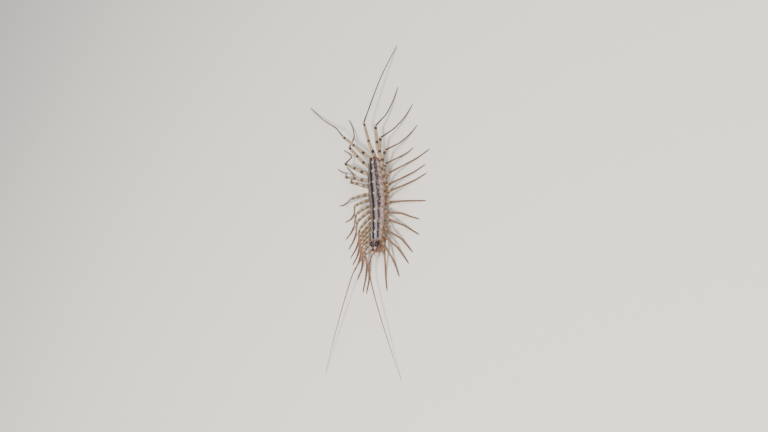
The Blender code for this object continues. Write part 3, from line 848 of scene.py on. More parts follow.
    # ---- ringed foot: first piece, then many rings to a small claw
    s = [s_ankle - 0.08]
    ring_ids = [0.0]
    here, index = s_ankle + 0.02, 0
    while here < total - 0.05:
        share = (here - s_ankle) / (total - s_ankle)
        pitch = 0.36 - 0.17 * share
        for part_share in (0.0, 0.12, 0.82):
            s.append(here + pitch * part_share)
            ring_ids.append(index + part_share)
        here += pitch
        index += 1
    s.append(total)
    ring_ids.append(index)
    s, ring_ids = rising(s, ring_ids, total)
    share = np.clip((s - s_ankle) / (total - s_ankle), 0, 1)
    path = resample(line, s)
    body = foot_r - (foot_r - 0.148) * share ** 0.75
    body = body - (0.148 - tip_r) * ease((share - 0.85) / 0.15)
    body = np.where(share < 0.02, shin_r * 0.66, body)
    inside = ring_ids % 1.0
    radius = body * np.where(inside < 0.06, 0.88, np.where(inside < 0.5, 0.98, 1.07))
    path[:, 2] = np.maximum(path[:, 2], radius * 1.08)
    warm = mix(FOOT_BROWN, FOOT_OLIVE, rear * 0.9)
    tint = mix(warm * np.ones((len(s), 1)), mix(FOOT_END, FOOT_PALE, rear), share * 0.7)
    tint = mix(tint, ORANGE, bump_at(s, s_ankle + 0.12, 0.22) * (0.55 - 0.3 * rear))
    tint = mix(tint, SHIN_BROWN, (bump_at(s, s_ankle + 0.9, 0.6) * 0.5 + (1 - share) * 0.35) * rear)
    tint = mix(tint, tint * 0.80, np.where(inside < 0.06, 1.0, 0.0))
    along, across, rise = tube(shape, path, radius, 10, tint, cap=0.6)
    bases, directions, lengths, thick = [], [], [], []
    for i in range(3, len(s) - 1, 3):
        for turn in (-1.1, -2.04):
            spoke = math.cos(turn) * across[i] + math.sin(turn) * rise[i]
            if path[i][2] + spoke[2] * 0.2 < 0.02:
                spoke = math.cos(turn * 0.25) * across[i] * (1 if turn > -1.57 else -1) \
                    + 0.15 * rise[i]
            bases.append(path[i] + spoke * radius[i] * 0.95)
            directions.append(spoke * 0.55 + along[i])
            lengths.append(0.15 * (1 - 0.4 * share[i]))
            thick.append(0.010)
        for turn in (0.9, 2.3):
            if i % 6:
                continue
            spoke = math.cos(turn) * across[i] + math.sin(turn) * rise[i]
            bases.append(path[i] + spoke * radius[i] * 0.95)
            directions.append(spoke * 0.6 + along[i])
            lengths.append(0.20 * (1 - 0.4 * share[i]))
            thick.append(0.009)
    bases, directions = np.array(bases), np.array(directions)
    lengths = np.array(lengths)
    ends = bases + directions / np.linalg.norm(directions, axis=1)[:, None] * lengths[:, None]
    keep = ends[:, 2] > 0.004
    spines(shape, bases[keep], directions[keep], lengths[keep], np.array(thick)[keep], BRISTLE)
    # the end claw
    tip = path[-1]
    spines(shape, [tip - along[-1] * 0.02], [along[-1] + vec(0, 0, -0.1)], 0.16, 0.034, CLAW_TIP)
    return shape.build("leg_%s_%02d_shell" % (side_name, pair), LEG_SHELL,
                       ["leg_%s_%02d" % (side_name, pair)])


# --------------------------------------------------------------------- feelers
def build_antenna(side_name):
    side = 1 if side_name == "left" else -1
    line, runs = antenna_line(side_name)
    shape = Shape()
    # two stout base pieces
    for a, b, r0, r1 in ((-0.22, 0.42, 0.27, 0.235), (0.34, 0.86, 0.205, 0.225)):
        s = np.linspace(a, b, 14)
        path = np.stack([np.interp(s, runs, line[:, i]) for i in range(3)], axis=-1)
        path += np.minimum(s, 0)[:, None] * unit(line[30] - line[0])
        t = (s - a) / (b - a)
        radius = (r0 + (r1 - r0) * t) * (0.78 + 0.22 * np.sin(math.pi * np.clip(t, 0.06, 0.94)) ** 0.5)
        tint = mix(FACE * np.ones((14, 1)), REDDISH, 0.35 * t)
        tube(shape, path, radius, 16, tint, cap=0.3, ring=t)
    s, phase = [0.78], [0.0]
    here = 0.80
    while here < ANTENNA_LENGTH - 0.12:
        pitch = 0.105 + 0.075 * (here / ANTENNA_LENGTH)
        for part in (0.0, 0.18, 0.72):
            s.append(here + pitch * part)
            phase.append(part + 0.001)
        here += pitch
    s.append(ANTENNA_LENGTH)
    phase.append(0.5)
    s, phase = rising(s, phase, ANTENNA_LENGTH)
    share = s / ANTENNA_LENGTH
    path = np.stack([np.interp(s, runs, line[:, i]) for i in range(3)], axis=-1)
    body = 0.165 * (1 - share) ** 1.1 + 0.075 * share ** 0.6 - 0.035 * share ** 3
    radius = body * np.where(phase < 0.1, 0.90, 1.05)
    path[:, 2] = np.maximum(path[:, 2], radius * 1.05)
    tint = mix(rgb(128, 80, 48) * np.ones((len(s), 1)), rgb(158, 112, 74), share ** 0.8)
    tint = tint * (0.80 if side > 0 else 1.0)
    # every so often the rings are darker, which shows as faint bands
    band = 0.5 + 0.5 * np.sin(s * 2 * math.pi / 2.3)
    tint = mix(tint, tint * 0.62, band ** 3 * 0.7)
    tint = mix(tint, tint * 0.66, np.where(phase < 0.1, 1.0, 0.0))
    along, across, rise = tube(shape, path, radius, 10, tint, cap=0.6, ring=phase)
    bases, directions, lengths = [], [], []
    for i in range(2, len(s) - 1, 3):
        for k in range(3):
            turn = 2.1 * k + 0.9 * i
            spoke = math.cos(turn) * across[i] + math.sin(turn) * rise[i]
            base = path[i] + spoke * radius[i] * 0.96
            length = 0.13 * (1 - 0.35 * share[i])
            direction = unit(spoke * 0.7 + along[i])
            if (base + direction * length)[2] < 0.004:
                continue
            bases.append(base)
            directions.append(direction)
            lengths.append(length)
    spines(shape, bases, directions, lengths, 0.0075, BRISTLE, ring=0.0)
    return shape.build("antenna_%s_shell" % side_name, ANTENNA_SHELL,
                       ["antenna_%s" % side_name])


# ----------------------------------------------------------------- back plates
def plate_surface(u, t, front, rear):
    length = rear - front
    y = front + t * length
    y = y - PLATE_NOTCH * np.exp(-(u / 0.28) ** 2) * np.clip(t, 0, 1) ** 6
    y = y - 0.45 * np.abs(u) ** 5 * np.clip(2 * t - 1, 0, None)
    y = y + 0.25 * np.abs(u) ** 5 * np.clip(1 - 3 * t, 0, None)
    lift = PLATE_LIFT * np.clip(t, 0, None) ** 1.5
    top = ridge_z(y)
    flare = lift * np.sign(u) * np.abs(u) ** 1.6
    z = top - (top - EAVES_Z) * np.abs(u) ** ARCH_POWER + lift * (1 - 0.55 * np.abs(u) ** 2.5)
    return np.stack([axis_x(y) + u * half_width(y) + 0.75 * flare, y, z], axis=-1)


def build_plate(index, front, rear):
    length = rear - front
    last = index == len(PLATE_REAR_Y)
    columns, rows = 84, max(18, int(length / 0.075))
    u = np.linspace(-1, 1, columns + 1)
    u = np.sign(u) * np.abs(u) ** 0.9
    t = np.linspace(0, 1, rows + 1)
    t = np.concatenate([t[:-1], [0.985, 1.0]]) if rows < 60 else t
    t = np.unique(t)
    rows = len(t) - 1
    U, T = np.meshgrid(u, t)
    P = plate_surface(U, T, front, rear)
    e = 0.004
    du = plate_surface(U + e, T, front, rear) - plate_surface(U - e, T, front, rear)
    dt = plate_surface(U, T + e, front, rear) - plate_surface(U, T - e, front, rear)
    N = np.cross(du, dt)
    N /= np.linalg.norm(N, axis=-1)[..., None]
    across_mm = U * half_width(P[..., 1])
    behind = (1 - T) * length
    # relief: rolled margins, a low keel beside the middle, and the saddle of the air slit
    high = 0.030 * np.exp(-(behind / 0.10) ** 2)
    high += 0.028 * np.exp(-((1 - np.abs(U)) / 0.05) ** 2)
    high -= 0.030 * np.exp(-((behind - 0.24) / 0.09) ** 2) * (np.abs(U) < 0.93)
    high += 0.016 * np.exp(-((np.abs(U) - 0.40) / 0.07) ** 2) * ease(T / 0.2)
    high -= 0.014 * np.exp(-((np.abs(U) - 0.78) / 0.05) ** 2)
    wrinkle = np.sin(P[..., 1] * 9.0 + 2.2 * np.cos(across_mm * 2.4)) \
        * np.sin(across_mm * 5.0 + P[..., 1])
    high += 0.006 * wrinkle * ease(T / 0.15)
    stoma = np.zeros_like(U)
    slit = np.zeros_like(U)
    if not last:
        reach = np.sqrt((across_mm / 0.30) ** 2 + ((behind - 0.32) / 0.42) ** 2)
        high += 0.085 * np.exp(-reach ** 2 * 1.3)
        # the saddle is yellow on both sides of the dark slit
        flank = np.sqrt(((np.abs(across_mm) - 0.52) / 0.27) ** 2 + ((behind - 0.33) / 0.36) ** 2)
        stoma = ease((1.20 - flank) / 0.80) * np.where(across_mm < 0, 0.30, 0.90)
        slit = ease((0.050 - np.abs(across_mm)) / 0.030) * ease((0.42 - behind) / 0.06)
        high -= 0.06 * slit
    outer = P + N * high[..., None]
    # thin towards the side edges, and tucked under in front
    thick = 0.145 - 0.055 * np.abs(U) ** 4
    inner = P - N * thick[..., None]
    base = mix(rgb(120, 105, 90), rgb(142, 126, 117), ease((np.abs(U) - 0.15) / 0.3))
    base = mix(base, rgb(164, 142, 137), ease((np.abs(U) - 0.64) / 0.12))
    # painted shade: the far side of the back (negative across) is darkened
    base = mix(base, rgb(90, 72, 58), ease((-U - 0.14) / 0.08) * 0.72)
    # towards the side edge the shell is brown between pale teeth, one over each hip; on the far side
    # the brown begins further in, and that part is painted shade
    hips = np.array([hip_y(p) for p in range(1, LEG_PAIRS)])
    past = (P[..., 1][..., None] - hips + 0.35) / HIP_PITCH
    past = np.min(np.abs(past), axis=-1)
    tooth = np.clip(1 - past / 0.42, 0, 1)
    begins = np.where(U > 0, 0.75, 0.63)
    base = mix(base, rgb(140, 112, 94),
               ease((np.abs(U) - begins - 0.20 * tooth ** 0.8) / 0.10) * (0.20 + 0.55 * (index > 3)))
    base = mix(base, rgb(224, 212, 208),
               np.exp(-((np.abs(U) - 0.86) / 0.055) ** 2 - (past / 0.13) ** 2) * 0.85)
    # painted sheen: a pale bluish grey laid over the middle of the two front plates
    if index <= 2:
        base = mix(base, rgb(142, 148, 152), (np.abs(U) < 0.5) * (0.75 if index == 1 else 0.3))
    base = mix(base, rgb(194, 178, 160), ease((0.16 - behind) / 0.10) * 0.55)
    base = mix(base, rgb(190, 168, 150), ease((np.abs(U) - 0.95) / 0.03) * 0.45)
    base = mix(base, rgb(116, 92, 84), np.exp(-((behind - 0.26) / 0.10) ** 2) * 0.45)
    if last:
        base = mix(base, rgb(132, 72, 52), ease((T - 0.35) / 0.4) * 0.8)
    shape = Shape()
    width = columns + 1
    n = width * (rows + 1)
    points = np.concatenate([outer.reshape(-1, 3), inner.reshape(-1, 3)])
    r, c = np.meshgrid(np.arange(rows), np.arange(columns), indexing="ij")
    a = (r * width + c).ravel()
    top_q = np.stack([a, a + 1, a + width + 1, a + width], axis=-1)
    low_q = np.stack([n + a, n + a + width, n + a + width + 1, n + a + 1], axis=-1)
    rim = list(range(width)) + [k * width + columns for k in range(1, rows + 1)]
    rim += [rows * width + k for k in range(columns - 1, -1, -1)]
    rim += [k * width for k in range(rows - 1, 0, -1)]
    rim_q = [(p, n + p, n + q, q) for p, q in zip(rim, rim[1:] + rim[:1])]
    quads = np.concatenate([top_q, low_q, np.array(rim_q)])
    # painted shade: the underside of the plate is a darker copy of the top colour
    tint = np.concatenate([base.reshape(-1, 3), (base * 0.55).reshape(-1, 3)])

    def both(value, under):
        return np.concatenate([value.ravel(), np.full(value.size, under)])

    broad = 0.80 + 0.35 * (index >= 4)
    lane = 0.60 - 0.05 * (index >= 7) - 0.02 * (index <= 2)
    shape.add(points, quads, None, tint, across=both(U, 0.8), along=both(T, 0.5),
              outer=both(np.ones_like(U), 0.0), stoma=both(stoma, 0.0), slit=both(slit, 0.0),
              broad=broad, lane=lane)
    # short bristles over the plate and a fringe along its side and rear edges
    count = int(24 * length)
    bu, bt = RNG.uniform(-0.96, 0.96, count), RNG.uniform(0.06, 0.97, count)
    ii = np.clip((bt * rows).astype(int), 0, rows)
    jj = np.clip(np.searchsorted(u, bu), 0, columns)
    back = np.array([0, 1.0, 0])
    spines(shape, outer[ii, jj], N[ii, jj] * 0.55 + back, RNG.uniform(0.08, 0.15, count), 0.0085,
           BRISTLE, across=0.8, along=0.5, outer=0.0, stoma=0.0, slit=0.0, broad=1.0,
           lane=0.6)
    bases, directions, lengths = [], [], []
    for k in (0, columns):
        for i in range(1, rows, 2):
            out = vec(1 if k else -1, 0.55, -0.12)
            bases.append(outer[i, k] * 0.6 + inner[i, k] * 0.4)
            directions.append(out)
            lengths.append(RNG.uniform(0.10, 0.19))
    for k in range(1, columns, 2):
        if abs(u[k]) < 0.1:
            continue
        bases.append(outer[rows, k] * 0.5 + inner[rows, k] * 0.5)
        directions.append(vec(u[k] * 0.35, 1.0, 0.10))
        lengths.append(RNG.uniform(0.06, 0.12))
    spines(shape, bases, directions, lengths, 0.0095, BRISTLE,
           across=0.8, along=0.5, outer=0.0, stoma=0.0, slit=0.0, broad=1.0,
           lane=0.6)
    return shape.build("plate_%d_shell" % index, PLATE_SHELL, ["plate_%d" % index],
                       sharp=60)


# ------------------------------------------------------------------------ trunk
def build_trunk():
    shape = Shape()
    rows, around = 300, 56
    y = np.linspace(TRUNK_FRONT_Y, TRUNK_REAR_Y - 0.02, rows)
    hips = np.array([hip_y(p) for p in range(1, LEG_PAIRS)])
    nearest = np.min(np.abs(y[:, None] - hips[None, :]), axis=1)
    swell = np.exp(-(nearest / 0.45) ** 2)
    valley = np.exp(-((0.8 - nearest).clip(0) / 0.16) ** 2)
    wide = flank_x(y) - 0.04 + 0.05 * swell - 0.11 * valley
    top = ridge_z(y) - 0.36
    low = BELLY_Z + 0.03 - 0.03 * swell + 0.10 * valley
    angle = 2 * math.pi * np.arange(around) / around
    c, s = np.cos(angle), np.sin(angle)
    sx = np.sign(c) * np.abs(c) ** 0.62
    sz = np.sign(s) * np.abs(s) ** 0.72
    mid = (FLANK_LOW_Z + FLANK_TOP_Z) / 2 - 0.05
    half_up = (top - mid)[:, None]
    half_down = (mid - low)[:, None]
    z = mid + np.where(sz[None, :] > 0, sz[None, :] * half_up, sz[None, :] * half_down)
    pinch = 1 - 0.20 * np.clip(sz[None, :] - 0.3, 0, None) ** 1.5
    x = axis_x(y)[:, None] + sx[None, :] * wide[:, None] * pinch
    # side plates: low cushions above each hip, and folds of soft skin between
    side_face = np.exp(-((z - 2.45) / 0.28) ** 2) * (np.abs(sx)[None, :] > 0.8)
    x += np.sign(sx)[None, :] * side_face * (0.05 * swell - 0.03 * valley)[:, None]
    ends = ease((y - TRUNK_FRONT_Y) / 0.3) * ease((TRUNK_REAR_Y - y) / 0.5)
    shrink = 0.80 + 0.20 * ends[:, None]
    x = axis_x(y)[:, None] + (x - axis_x(y)[:, None]) * shrink
    z = mid + (z - mid) * shrink
    Y = np.broadcast_to(y[:, None], x.shape)
    points = np.stack([x, Y, z], axis=-1)
    tint = mix(FLANK, LILAC, ease((z - 2.2) / 0.5))
    front = ease((-4.0 - y) / 2.0)[:, None]
    tint = mix(tint, COXA, np.exp(-((z - 1.9) / 0.35) ** 2) * (0.35 + 0.4 * swell[:, None])
               * (1 - 0.6 * front))
    tint = mix(tint, BELLY, ease((1.62 - z) / 0.2))
    # painted shade: the skin is darkened in the folds between the hips
    tint = mix(tint, tint * 0.55, valley[:, None] * 0.55 * np.ones_like(z))
    quads = ring_faces(rows, around)
    n = rows * around
    flat = points.reshape(-1, 3)
    ends_at = np.array([points[0].mean(axis=0) - vec(0, 0.02, 0), points[-1].mean(axis=0)
                        + vec(0, 0.015, 0)])
    k = np.arange(around)
    tris = np.concatenate([
        np.stack([np.full(around, n), (k + 1) % around, k], axis=-1),
        np.stack([np.full(around, n + 1), n - around + k, n - around + (k + 1) % around], axis=-1)])
    shape.add(np.concatenate([flat, ends_at]), quads, tris,
              np.concatenate([tint.reshape(-1, 3), [COXA, REDDISH]]))
    # belly plates: one low shield between each pair of hips
    for p in range(1, LEG_PAIRS + 1):
        yc = hip_y(p) if p < LEG_PAIRS else TRUNK_REAR_Y - 0.62
        w = float(flank_x(yc)) * 0.62
        length = 0.66 if p < LEG_PAIRS else 0.45
        grid_x, grid_y = np.meshgrid(np.linspace(-1, 1, 15), np.linspace(-1, 1, 11))
        px = axis_x(yc) + grid_x * w * (1 - 0.12 * grid_y * np.abs(grid_y))
        py = yc + grid_y * length
        bulge = (1 - np.abs(grid_x) ** 3.5) * (1 - np.abs(grid_y) ** 3.5)
        pz = BELLY_Z + 0.075 - 0.085 * bulge
        under = np.stack([px, py, pz], axis=-1)
        inner = under + vec(0, 0, 0.05)
        wd, rw = 15, 11
        nn = wd * rw
        r, cc = np.meshgrid(np.arange(rw - 1), np.arange(wd - 1), indexing="ij")
        a = (r * wd + cc).ravel()
        q1 = np.stack([a, a + wd, a + wd + 1, a + 1], axis=-1)
        q2 = np.stack([nn + a, nn + a + 1, nn + a + wd + 1, nn + a + wd], axis=-1)
        rim = list(range(wd)) + [j * wd + wd - 1 for j in range(1, rw)]
        rim += [(rw - 1) * wd + j for j in range(wd - 2, -1, -1)]
        rim += [j * wd for j in range(rw - 2, 0, -1)]
        q3 = np.array([(i, j, nn + j, nn + i) for i, j in zip(rim, rim[1:] + rim[:1])])
        shade = mix(BELLY * np.ones((nn, 1)), COXA, 0.25 * (1 - bulge.ravel()))
        shape.add(np.concatenate([under.reshape(-1, 3), inner.reshape(-1, 3)]),
                  np.concatenate([q1, q2, q3]), None, np.concatenate([shade, shade * 0.7]))
    # collars round the hips and small side plates above them
    for side in (1, -1):
        for p in range(1, LEG_PAIRS):
            point, outward = flank_frame(p, side)
            run = vec(-outward[1], outward[0], 0)
            turn = np.linspace(0, 2 * math.pi, 25)[:-1]
            ring = [point + outward * 0.03 + (math.cos(a) * run + math.sin(a) * vec(0, 0, 1)) * 0.40
                    for a in turn]
            closed = np.array(ring + ring[:1])
            torus(shape, closed[:-1], 0.055, COXA * 0.85)
            centre = point + vec(0, 0.05, 0.56) + outward * 0.01
            dome(shape, centre, outward, run, (0.50, 0.20, 0.09), mix(LILAC, FLANK, 0.3))
            centre = point + vec(0, -0.42 if p > 1 else -0.2, 0.12) + outward * 0.0
            dome(shape, centre, outward, run, (0.17, 0.26, 0.09), mix(COXA, FLANK, 0.4))
    return shape.build("trunk_skin", TRUNK_SKIN, ["trunk"])


def torus(shape, ring, radius, tint, sides=8):
    n = len(ring)
    centre = ring.mean(axis=0)
    ahead = np.roll(ring, -1, axis=0) - np.roll(ring, 1, axis=0)
    ahead /= np.linalg.norm(ahead, axis=1)[:, None]
    out = ring - centre
    out -= ahead * np.sum(out * ahead, axis=1)[:, None]
    out /= np.linalg.norm(out, axis=1)[:, None]
    side = np.cross(ahead, out)
    turn = 2 * math.pi * np.arange(sides) / sides
    points = ring[:, None] + radius * (np.cos(turn)[None, :, None] * out[:, None]
                                       + np.sin(turn)[None, :, None] * side[:, None])
    i, k = np.meshgrid(np.arange(n), np.arange(sides), indexing="ij")
    a = i * sides + k
    b = i * sides + (k + 1) % sides
    c = ((i + 1) % n) * sides + (k + 1) % sides
    d = ((i + 1) % n) * sides + k
    shape.add(points, np.stack([a, b, c, d], axis=-1).reshape(-1, 4), None, tint)


def dome(shape, centre, outward, run, size, tint, rows=7, around=18, up=(0, 0, 1)):
    """Low closed cushion lying on a surface."""
    up = unit(np.cross(outward, run))
    points = [centre + outward * size[2]]
    for r in range(1, rows):
        a = math.pi * r / rows
        for k in range(around):
            b = 2 * math.pi * k / around
            points.append(centre + run * size[0] * math.sin(a) * math.cos(b)
                          + up * size[1] * math.sin(a) * math.sin(b)
                          + outward * size[2] * math.cos(a))
    points.append(centre - outward * size[2])
    tris = [(0, 1 + k, 1 + (k + 1) % around) for k in range(around)]
    quads = []
    for r in range(rows - 2):
        for k in range(around):
            a, b = 1 + r * around + k, 1 + r * around + (k + 1) % around
            quads.append((a, a + around, b + around, b))
    last, start = len(points) - 1, 1 + (rows - 2) * around
    tris += [(last, start + (k + 1) % around, start + k) for k in range(around)]
    shape.add(points, quads, tris, tint)


# ------------------------------------------------------------------------- head
def head_profile(t):
    bulge = np.sin(math.pi * (0.27 + 0.66 * t)) ** 0.6
    wide = 1.44 * bulge * (1 - 0.10 * t)
    high = 0.98 * (1 - 0.38 * t ** 2.2)
    middle = 2.86 - 0.10 * t
    return wide, high, middle


def segment_distance(x, y, a, b):
    a, b = np.array(a, float), np.array(b, float)
    d = b - a
    t = np.clip(((x - a[0]) * d[0] + (y - a[1]) * d[1]) / np.dot(d, d), 0, 1)
    return np.hypot(x - a[0] - t * d[0], y - a[1] - t * d[1])


def build_head():
    shape = Shape()
    rows, around = 96, 112
    # extra rows close the face and the neck with rounded ends
    t = 1 - (1 - np.linspace(0, 1, rows)) ** 1.15
    wide, high, middle = head_profile(t)
    close = np.sqrt(np.clip(1 - np.clip((t - 0.86) / 0.14, 0, 1) ** 2 * 0.86, 0, 1))
    neck = np.sqrt(np.clip(1 - np.clip((0.07 - t) / 0.07, 0, 1) ** 2 * 0.6, 0, 1))
    wide, high = wide * close * neck * 0.985, high * close * neck * 0.985
    angle = 2 * math.pi * np.arange(around) / around
    c, s = np.cos(angle)[None, :], np.sin(angle)[None, :]
    x = wide[:, None] * np.sign(c) * np.abs(c) ** 0.85
    z = middle[:, None] + high[:, None] * np.sign(s) * np.abs(s) ** 0.90
    ahead = np.broadcast_to((t * HEAD_LENGTH)[:, None], x.shape)
    upper = np.clip(s, 0, 1) * np.ones_like(x)
    push = np.zeros_like(x)
    # grooves: the forked suture between the eyes and the furrow behind them
    fork = np.minimum(segment_distance(x, ahead, (0.06, 1.65), (0.06, 2.60)),
                      np.minimum(segment_distance(x, ahead, (0.06, 1.65), (0.72, 1.22)),
                                 segment_distance(x, ahead, (0.06, 1.65), (-0.66, 1.22))))
    rear_groove = segment_distance(x, ahead, (-1.2, 0.46), (1.2, 0.46))
    push -= 0.050 * np.exp(-(fork / 0.060) ** 2) * (upper > 0.25)
    push -= 0.045 * np.exp(-(rear_groove / 0.06) ** 2) * (upper > 0.1)
    push -= 0.030 * np.exp(-(x / 0.06) ** 2) * np.exp(-((ahead - 0.9) / 0.45) ** 2) * (upper > 0.3)
    # two low cushions on the crown and the swollen brow in front
    for side in (1, -1):
        push += 0.06 * np.exp(-((x - side * 0.42) / 0.30) ** 2 - ((ahead - 1.15) / 0.45) ** 2) \
            * (upper > 0.3)
        push += 0.05 * np.exp(-((x - side * 0.30) / 0.22) ** 2 - ((ahead - 2.15) / 0.25) ** 2) \
            * (upper > 0.3)
        push -= 0.26 * np.exp(-((x - side * 0.98) / 0.50) ** 2 - ((ahead - EYE_AHEAD) / 0.78) ** 4) \
            * np.clip(s + 0.3, 0, 1)
    out = np.stack([c * np.ones_like(x), np.zeros_like(x), s * np.ones_like(x)], axis=-1)
    x2, z2 = x + out[..., 0] * push, z + out[..., 2] * push
    points = on_head(x2, ahead, z2)
    # rims of the feeler sockets
    for side in (1, -1):
        base = on_head(side * ANTENNA_BASE_X, ANTENNA_BASE_AHEAD, ANTENNA_BASE_Z)
        away = points - base
        far = np.linalg.norm(away, axis=-1)
        points = points + away / far[..., None] * (0.05 * np.exp(-((far - 0.40) / 0.08) ** 2)
                                                   )[..., None]
        points = points - vec(0, 0, 1) * (0.10 * np.exp(-(far / 0.26) ** 2))[..., None]
    ax = np.abs(x)
    tint = mix(REDDISH * np.ones((*x.shape, 1)), OCHRE, 0.40 * np.exp(-((ahead - 0.25) / 0.3) ** 2))
    tint = mix(tint, OCHRE, 0.30 * np.exp(-((ax - 0.45) / 0.25) ** 2 - ((ahead - 1.25) / 0.4) ** 2))
    # dark marks: the median stripe runs on to the crown and forks to the eyes
    dark = np.exp(-(x / 0.13) ** 2) * ease((1.25 - ahead) / 0.3) * (upper > 0.2)
    dark = np.maximum(dark, np.exp(-(fork / 0.23) ** 4) * (upper > 0.25) * 0.98)
    dark = np.maximum(dark, np.exp(-((ahead - 2.58) / 0.13) ** 2 - ((x - 0.05) / 0.42) ** 4)
                      * (upper > 0.4) * 0.9)
    dark = np.maximum(dark, np.exp(-((ax - 0.80) / 0.22) ** 2) * ease((1.05 - ahead) / 0.4)
                      * (upper > 0.2) * 0.92)
    tint = mix(tint, CHEEK, ease((3.00 - z) / 0.35) * 0.8)
    # pale patches either side of the fork on the brow: partly pale shell, partly painted highlight
    tint = mix(tint, FRONS_PALE_AND_GLINT, np.exp(-((np.abs(x - 0.06) - 0.46) / 0.19) ** 2
                                   - ((ahead - 2.10) / 0.22) ** 2)
               * (upper > 0.3) * 0.9)
    tint = mix(tint, FACE, ease((ahead - 2.70) / 0.10) * 0.9)
    tint = mix(tint, HEAD_DARK, dark * 0.96)
    tint = mix(tint, HEAD_DARK, ease((ahead - 2.45) / 0.1) * np.exp(-(x / 0.12) ** 2) * 0.5)
    quads = ring_faces(rows, around)
    n = rows * around
    k = np.arange(around)
    caps = np.array([points[0].mean(axis=0) + vec(0, 0.01, 0),
                     points[-1].mean(axis=0) - vec(0, 0.012, 0)])
    tris = np.concatenate([
        np.stack([np.full(around, n), (k + 1) % around, k], axis=-1),
        np.stack([np.full(around, n + 1), n - around + k, n - around + (k + 1) % around], axis=-1)])
    shape.add(np.concatenate([points.reshape(-1, 3), caps]), quads, tris,
              np.concatenate([tint.reshape(-1, 3), [OCHRE, FACE]]))
    # short bristles on the crown, cheeks and brow
    count = 150
    i = RNG.integers(6, rows - 6, count)
    j = RNG.integers(0, around, count)
    chosen = [(a, b) for a, b in zip(i, j)
              if abs(x[a, b]) < 0.55 or abs(ahead[a, b] - EYE_AHEAD) > 0.8 or s[0, b] < 0.1]
    bases = np.array([points[a, b] for a, b in chosen])
    normals = np.array([vec(c[0, b], -0.5, s[0, b]) for a, b in chosen])
    spines(shape, bases, normals, RNG.uniform(0.07, 0.14, len(chosen)), 0.0085, BRISTLE)
    # upper lip under the face, and the jaws beside it
    lip = on_head(0.0, 2.72, 2.30)
    forward = unit(on_head(0, 3.0, 2.2) - on_head(0, 2.0, 2.2))
    right = unit(np.cross(forward, (0, 0, 1)))
    dome(shape, lip, forward, right, (0.34, 0.20, 0.20), mix(FACE, PALE, 0.35), rows=12, around=26)
    for side in (1, -1):
        jaw = on_head(side * 0.30, 2.52, 2.06)
        dome(shape, jaw, forward, right, (0.24, 0.20, 0.26), mix(FACE, COXA, 0.35), rows=12,
             around=22)
        cheek = on_head(side * 0.86, 1.9, 2.42)
        out = unit(on_head(side * 1.0, 1.9, 2.42) - on_head(side * 0.5, 1.9, 2.42))
        dome(shape, cheek, out, unit(np.cross((0, 0, 1), out)), (0.55, 0.30, 0.14),
             mix(CHEEK, REDDISH, 0.3), rows=12, around=26)
        # soft cushion at the side of the nape, between the head and the poison claw
        nape = on_head(side * 0.98, 0.30, 2.12)
        dome(shape, nape, out, unit(np.cross((0, 0, 1), out)), (0.80, 0.52, 0.40), CHEEK,
             rows=14, around=30)
    return shape.build("head_shell", HEAD_SHELL, ["head"])


def build_eye(side_name):
    """Compound eye: an oval set with some three hundred small domed lenses."""
    side = 1 if side_name == "left" else -1
    centre = on_head(side * EYE_X, EYE_AHEAD, EYE_Z)
    lean = math.radians(HEAD_TURN - side * 14.0)
    rows, around = 110, 150
    a = math.pi * (np.arange(rows + 1)) / rows
    b = 2 * math.pi * np.arange(around) / around
    A, B = np.meshgrid(a[1:-1], b, indexing="ij")
    # poles lie on the long axis, so the lenses on the outer side stay even
    direction = np.stack([np.sin(A) * np.cos(B), np.cos(A), np.sin(A) * np.sin(B)], axis=-1)
    d = np.concatenate([direction.reshape(-1, 3), [[0, 1.0, 0], [0, -1.0, 0]]])
    lenses = 560
    k = np.arange(lenses) + 0.5
    phi = np.arccos(1 - 2 * k / lenses)
    theta = math.pi * (1 + 5 ** 0.5) * k
    hub = np.stack([np.cos(theta) * np.sin(phi), np.cos(phi), np.sin(theta) * np.sin(phi)], axis=-1)
    near = np.arccos(np.clip((d @ hub.T).max(axis=1), -1, 1))
    cell = math.sqrt(4 * math.pi / lenses) * 0.56
    dome_up = 1 - np.clip(near / cell, 0, 1) ** 2
    size = np.array(EYE_SIZE) * 0.985
    p = d * size * (1 + 0.030 * dome_up - 0.022)[:, None]
    c, s = math.cos(lean), math.sin(lean)
    p = np.stack([p[:, 0] * c - p[:, 1] * s, p[:, 0] * s + p[:, 1] * c, p[:, 2]], axis=-1) + centre
    inner = (rows - 1) * around
    quads = ring_faces(rows - 1, around)
    kk = np.arange(around)
    tris = np.concatenate([
        np.stack([np.full(around, inner), (kk + 1) % around, kk], axis=-1),
        np.stack([np.full(around, inner + 1), inner - around + kk,
                  inner - around + (kk + 1) % around], axis=-1)])
    # painted highlight: each lens is a little lighter and bluer towards its top
    tint = mix(np.array([0.004, 0.003, 0.004]) * np.ones((len(p), 1)),
               np.array([0.012, 0.012, 0.018]), dome_up ** 3)
    shape = Shape()
    shape.add(p, quads, tris, tint)
    return shape.build("eye_%s_lenses" % side_name, EYE_BLACK, ["eye_%s" % side_name])


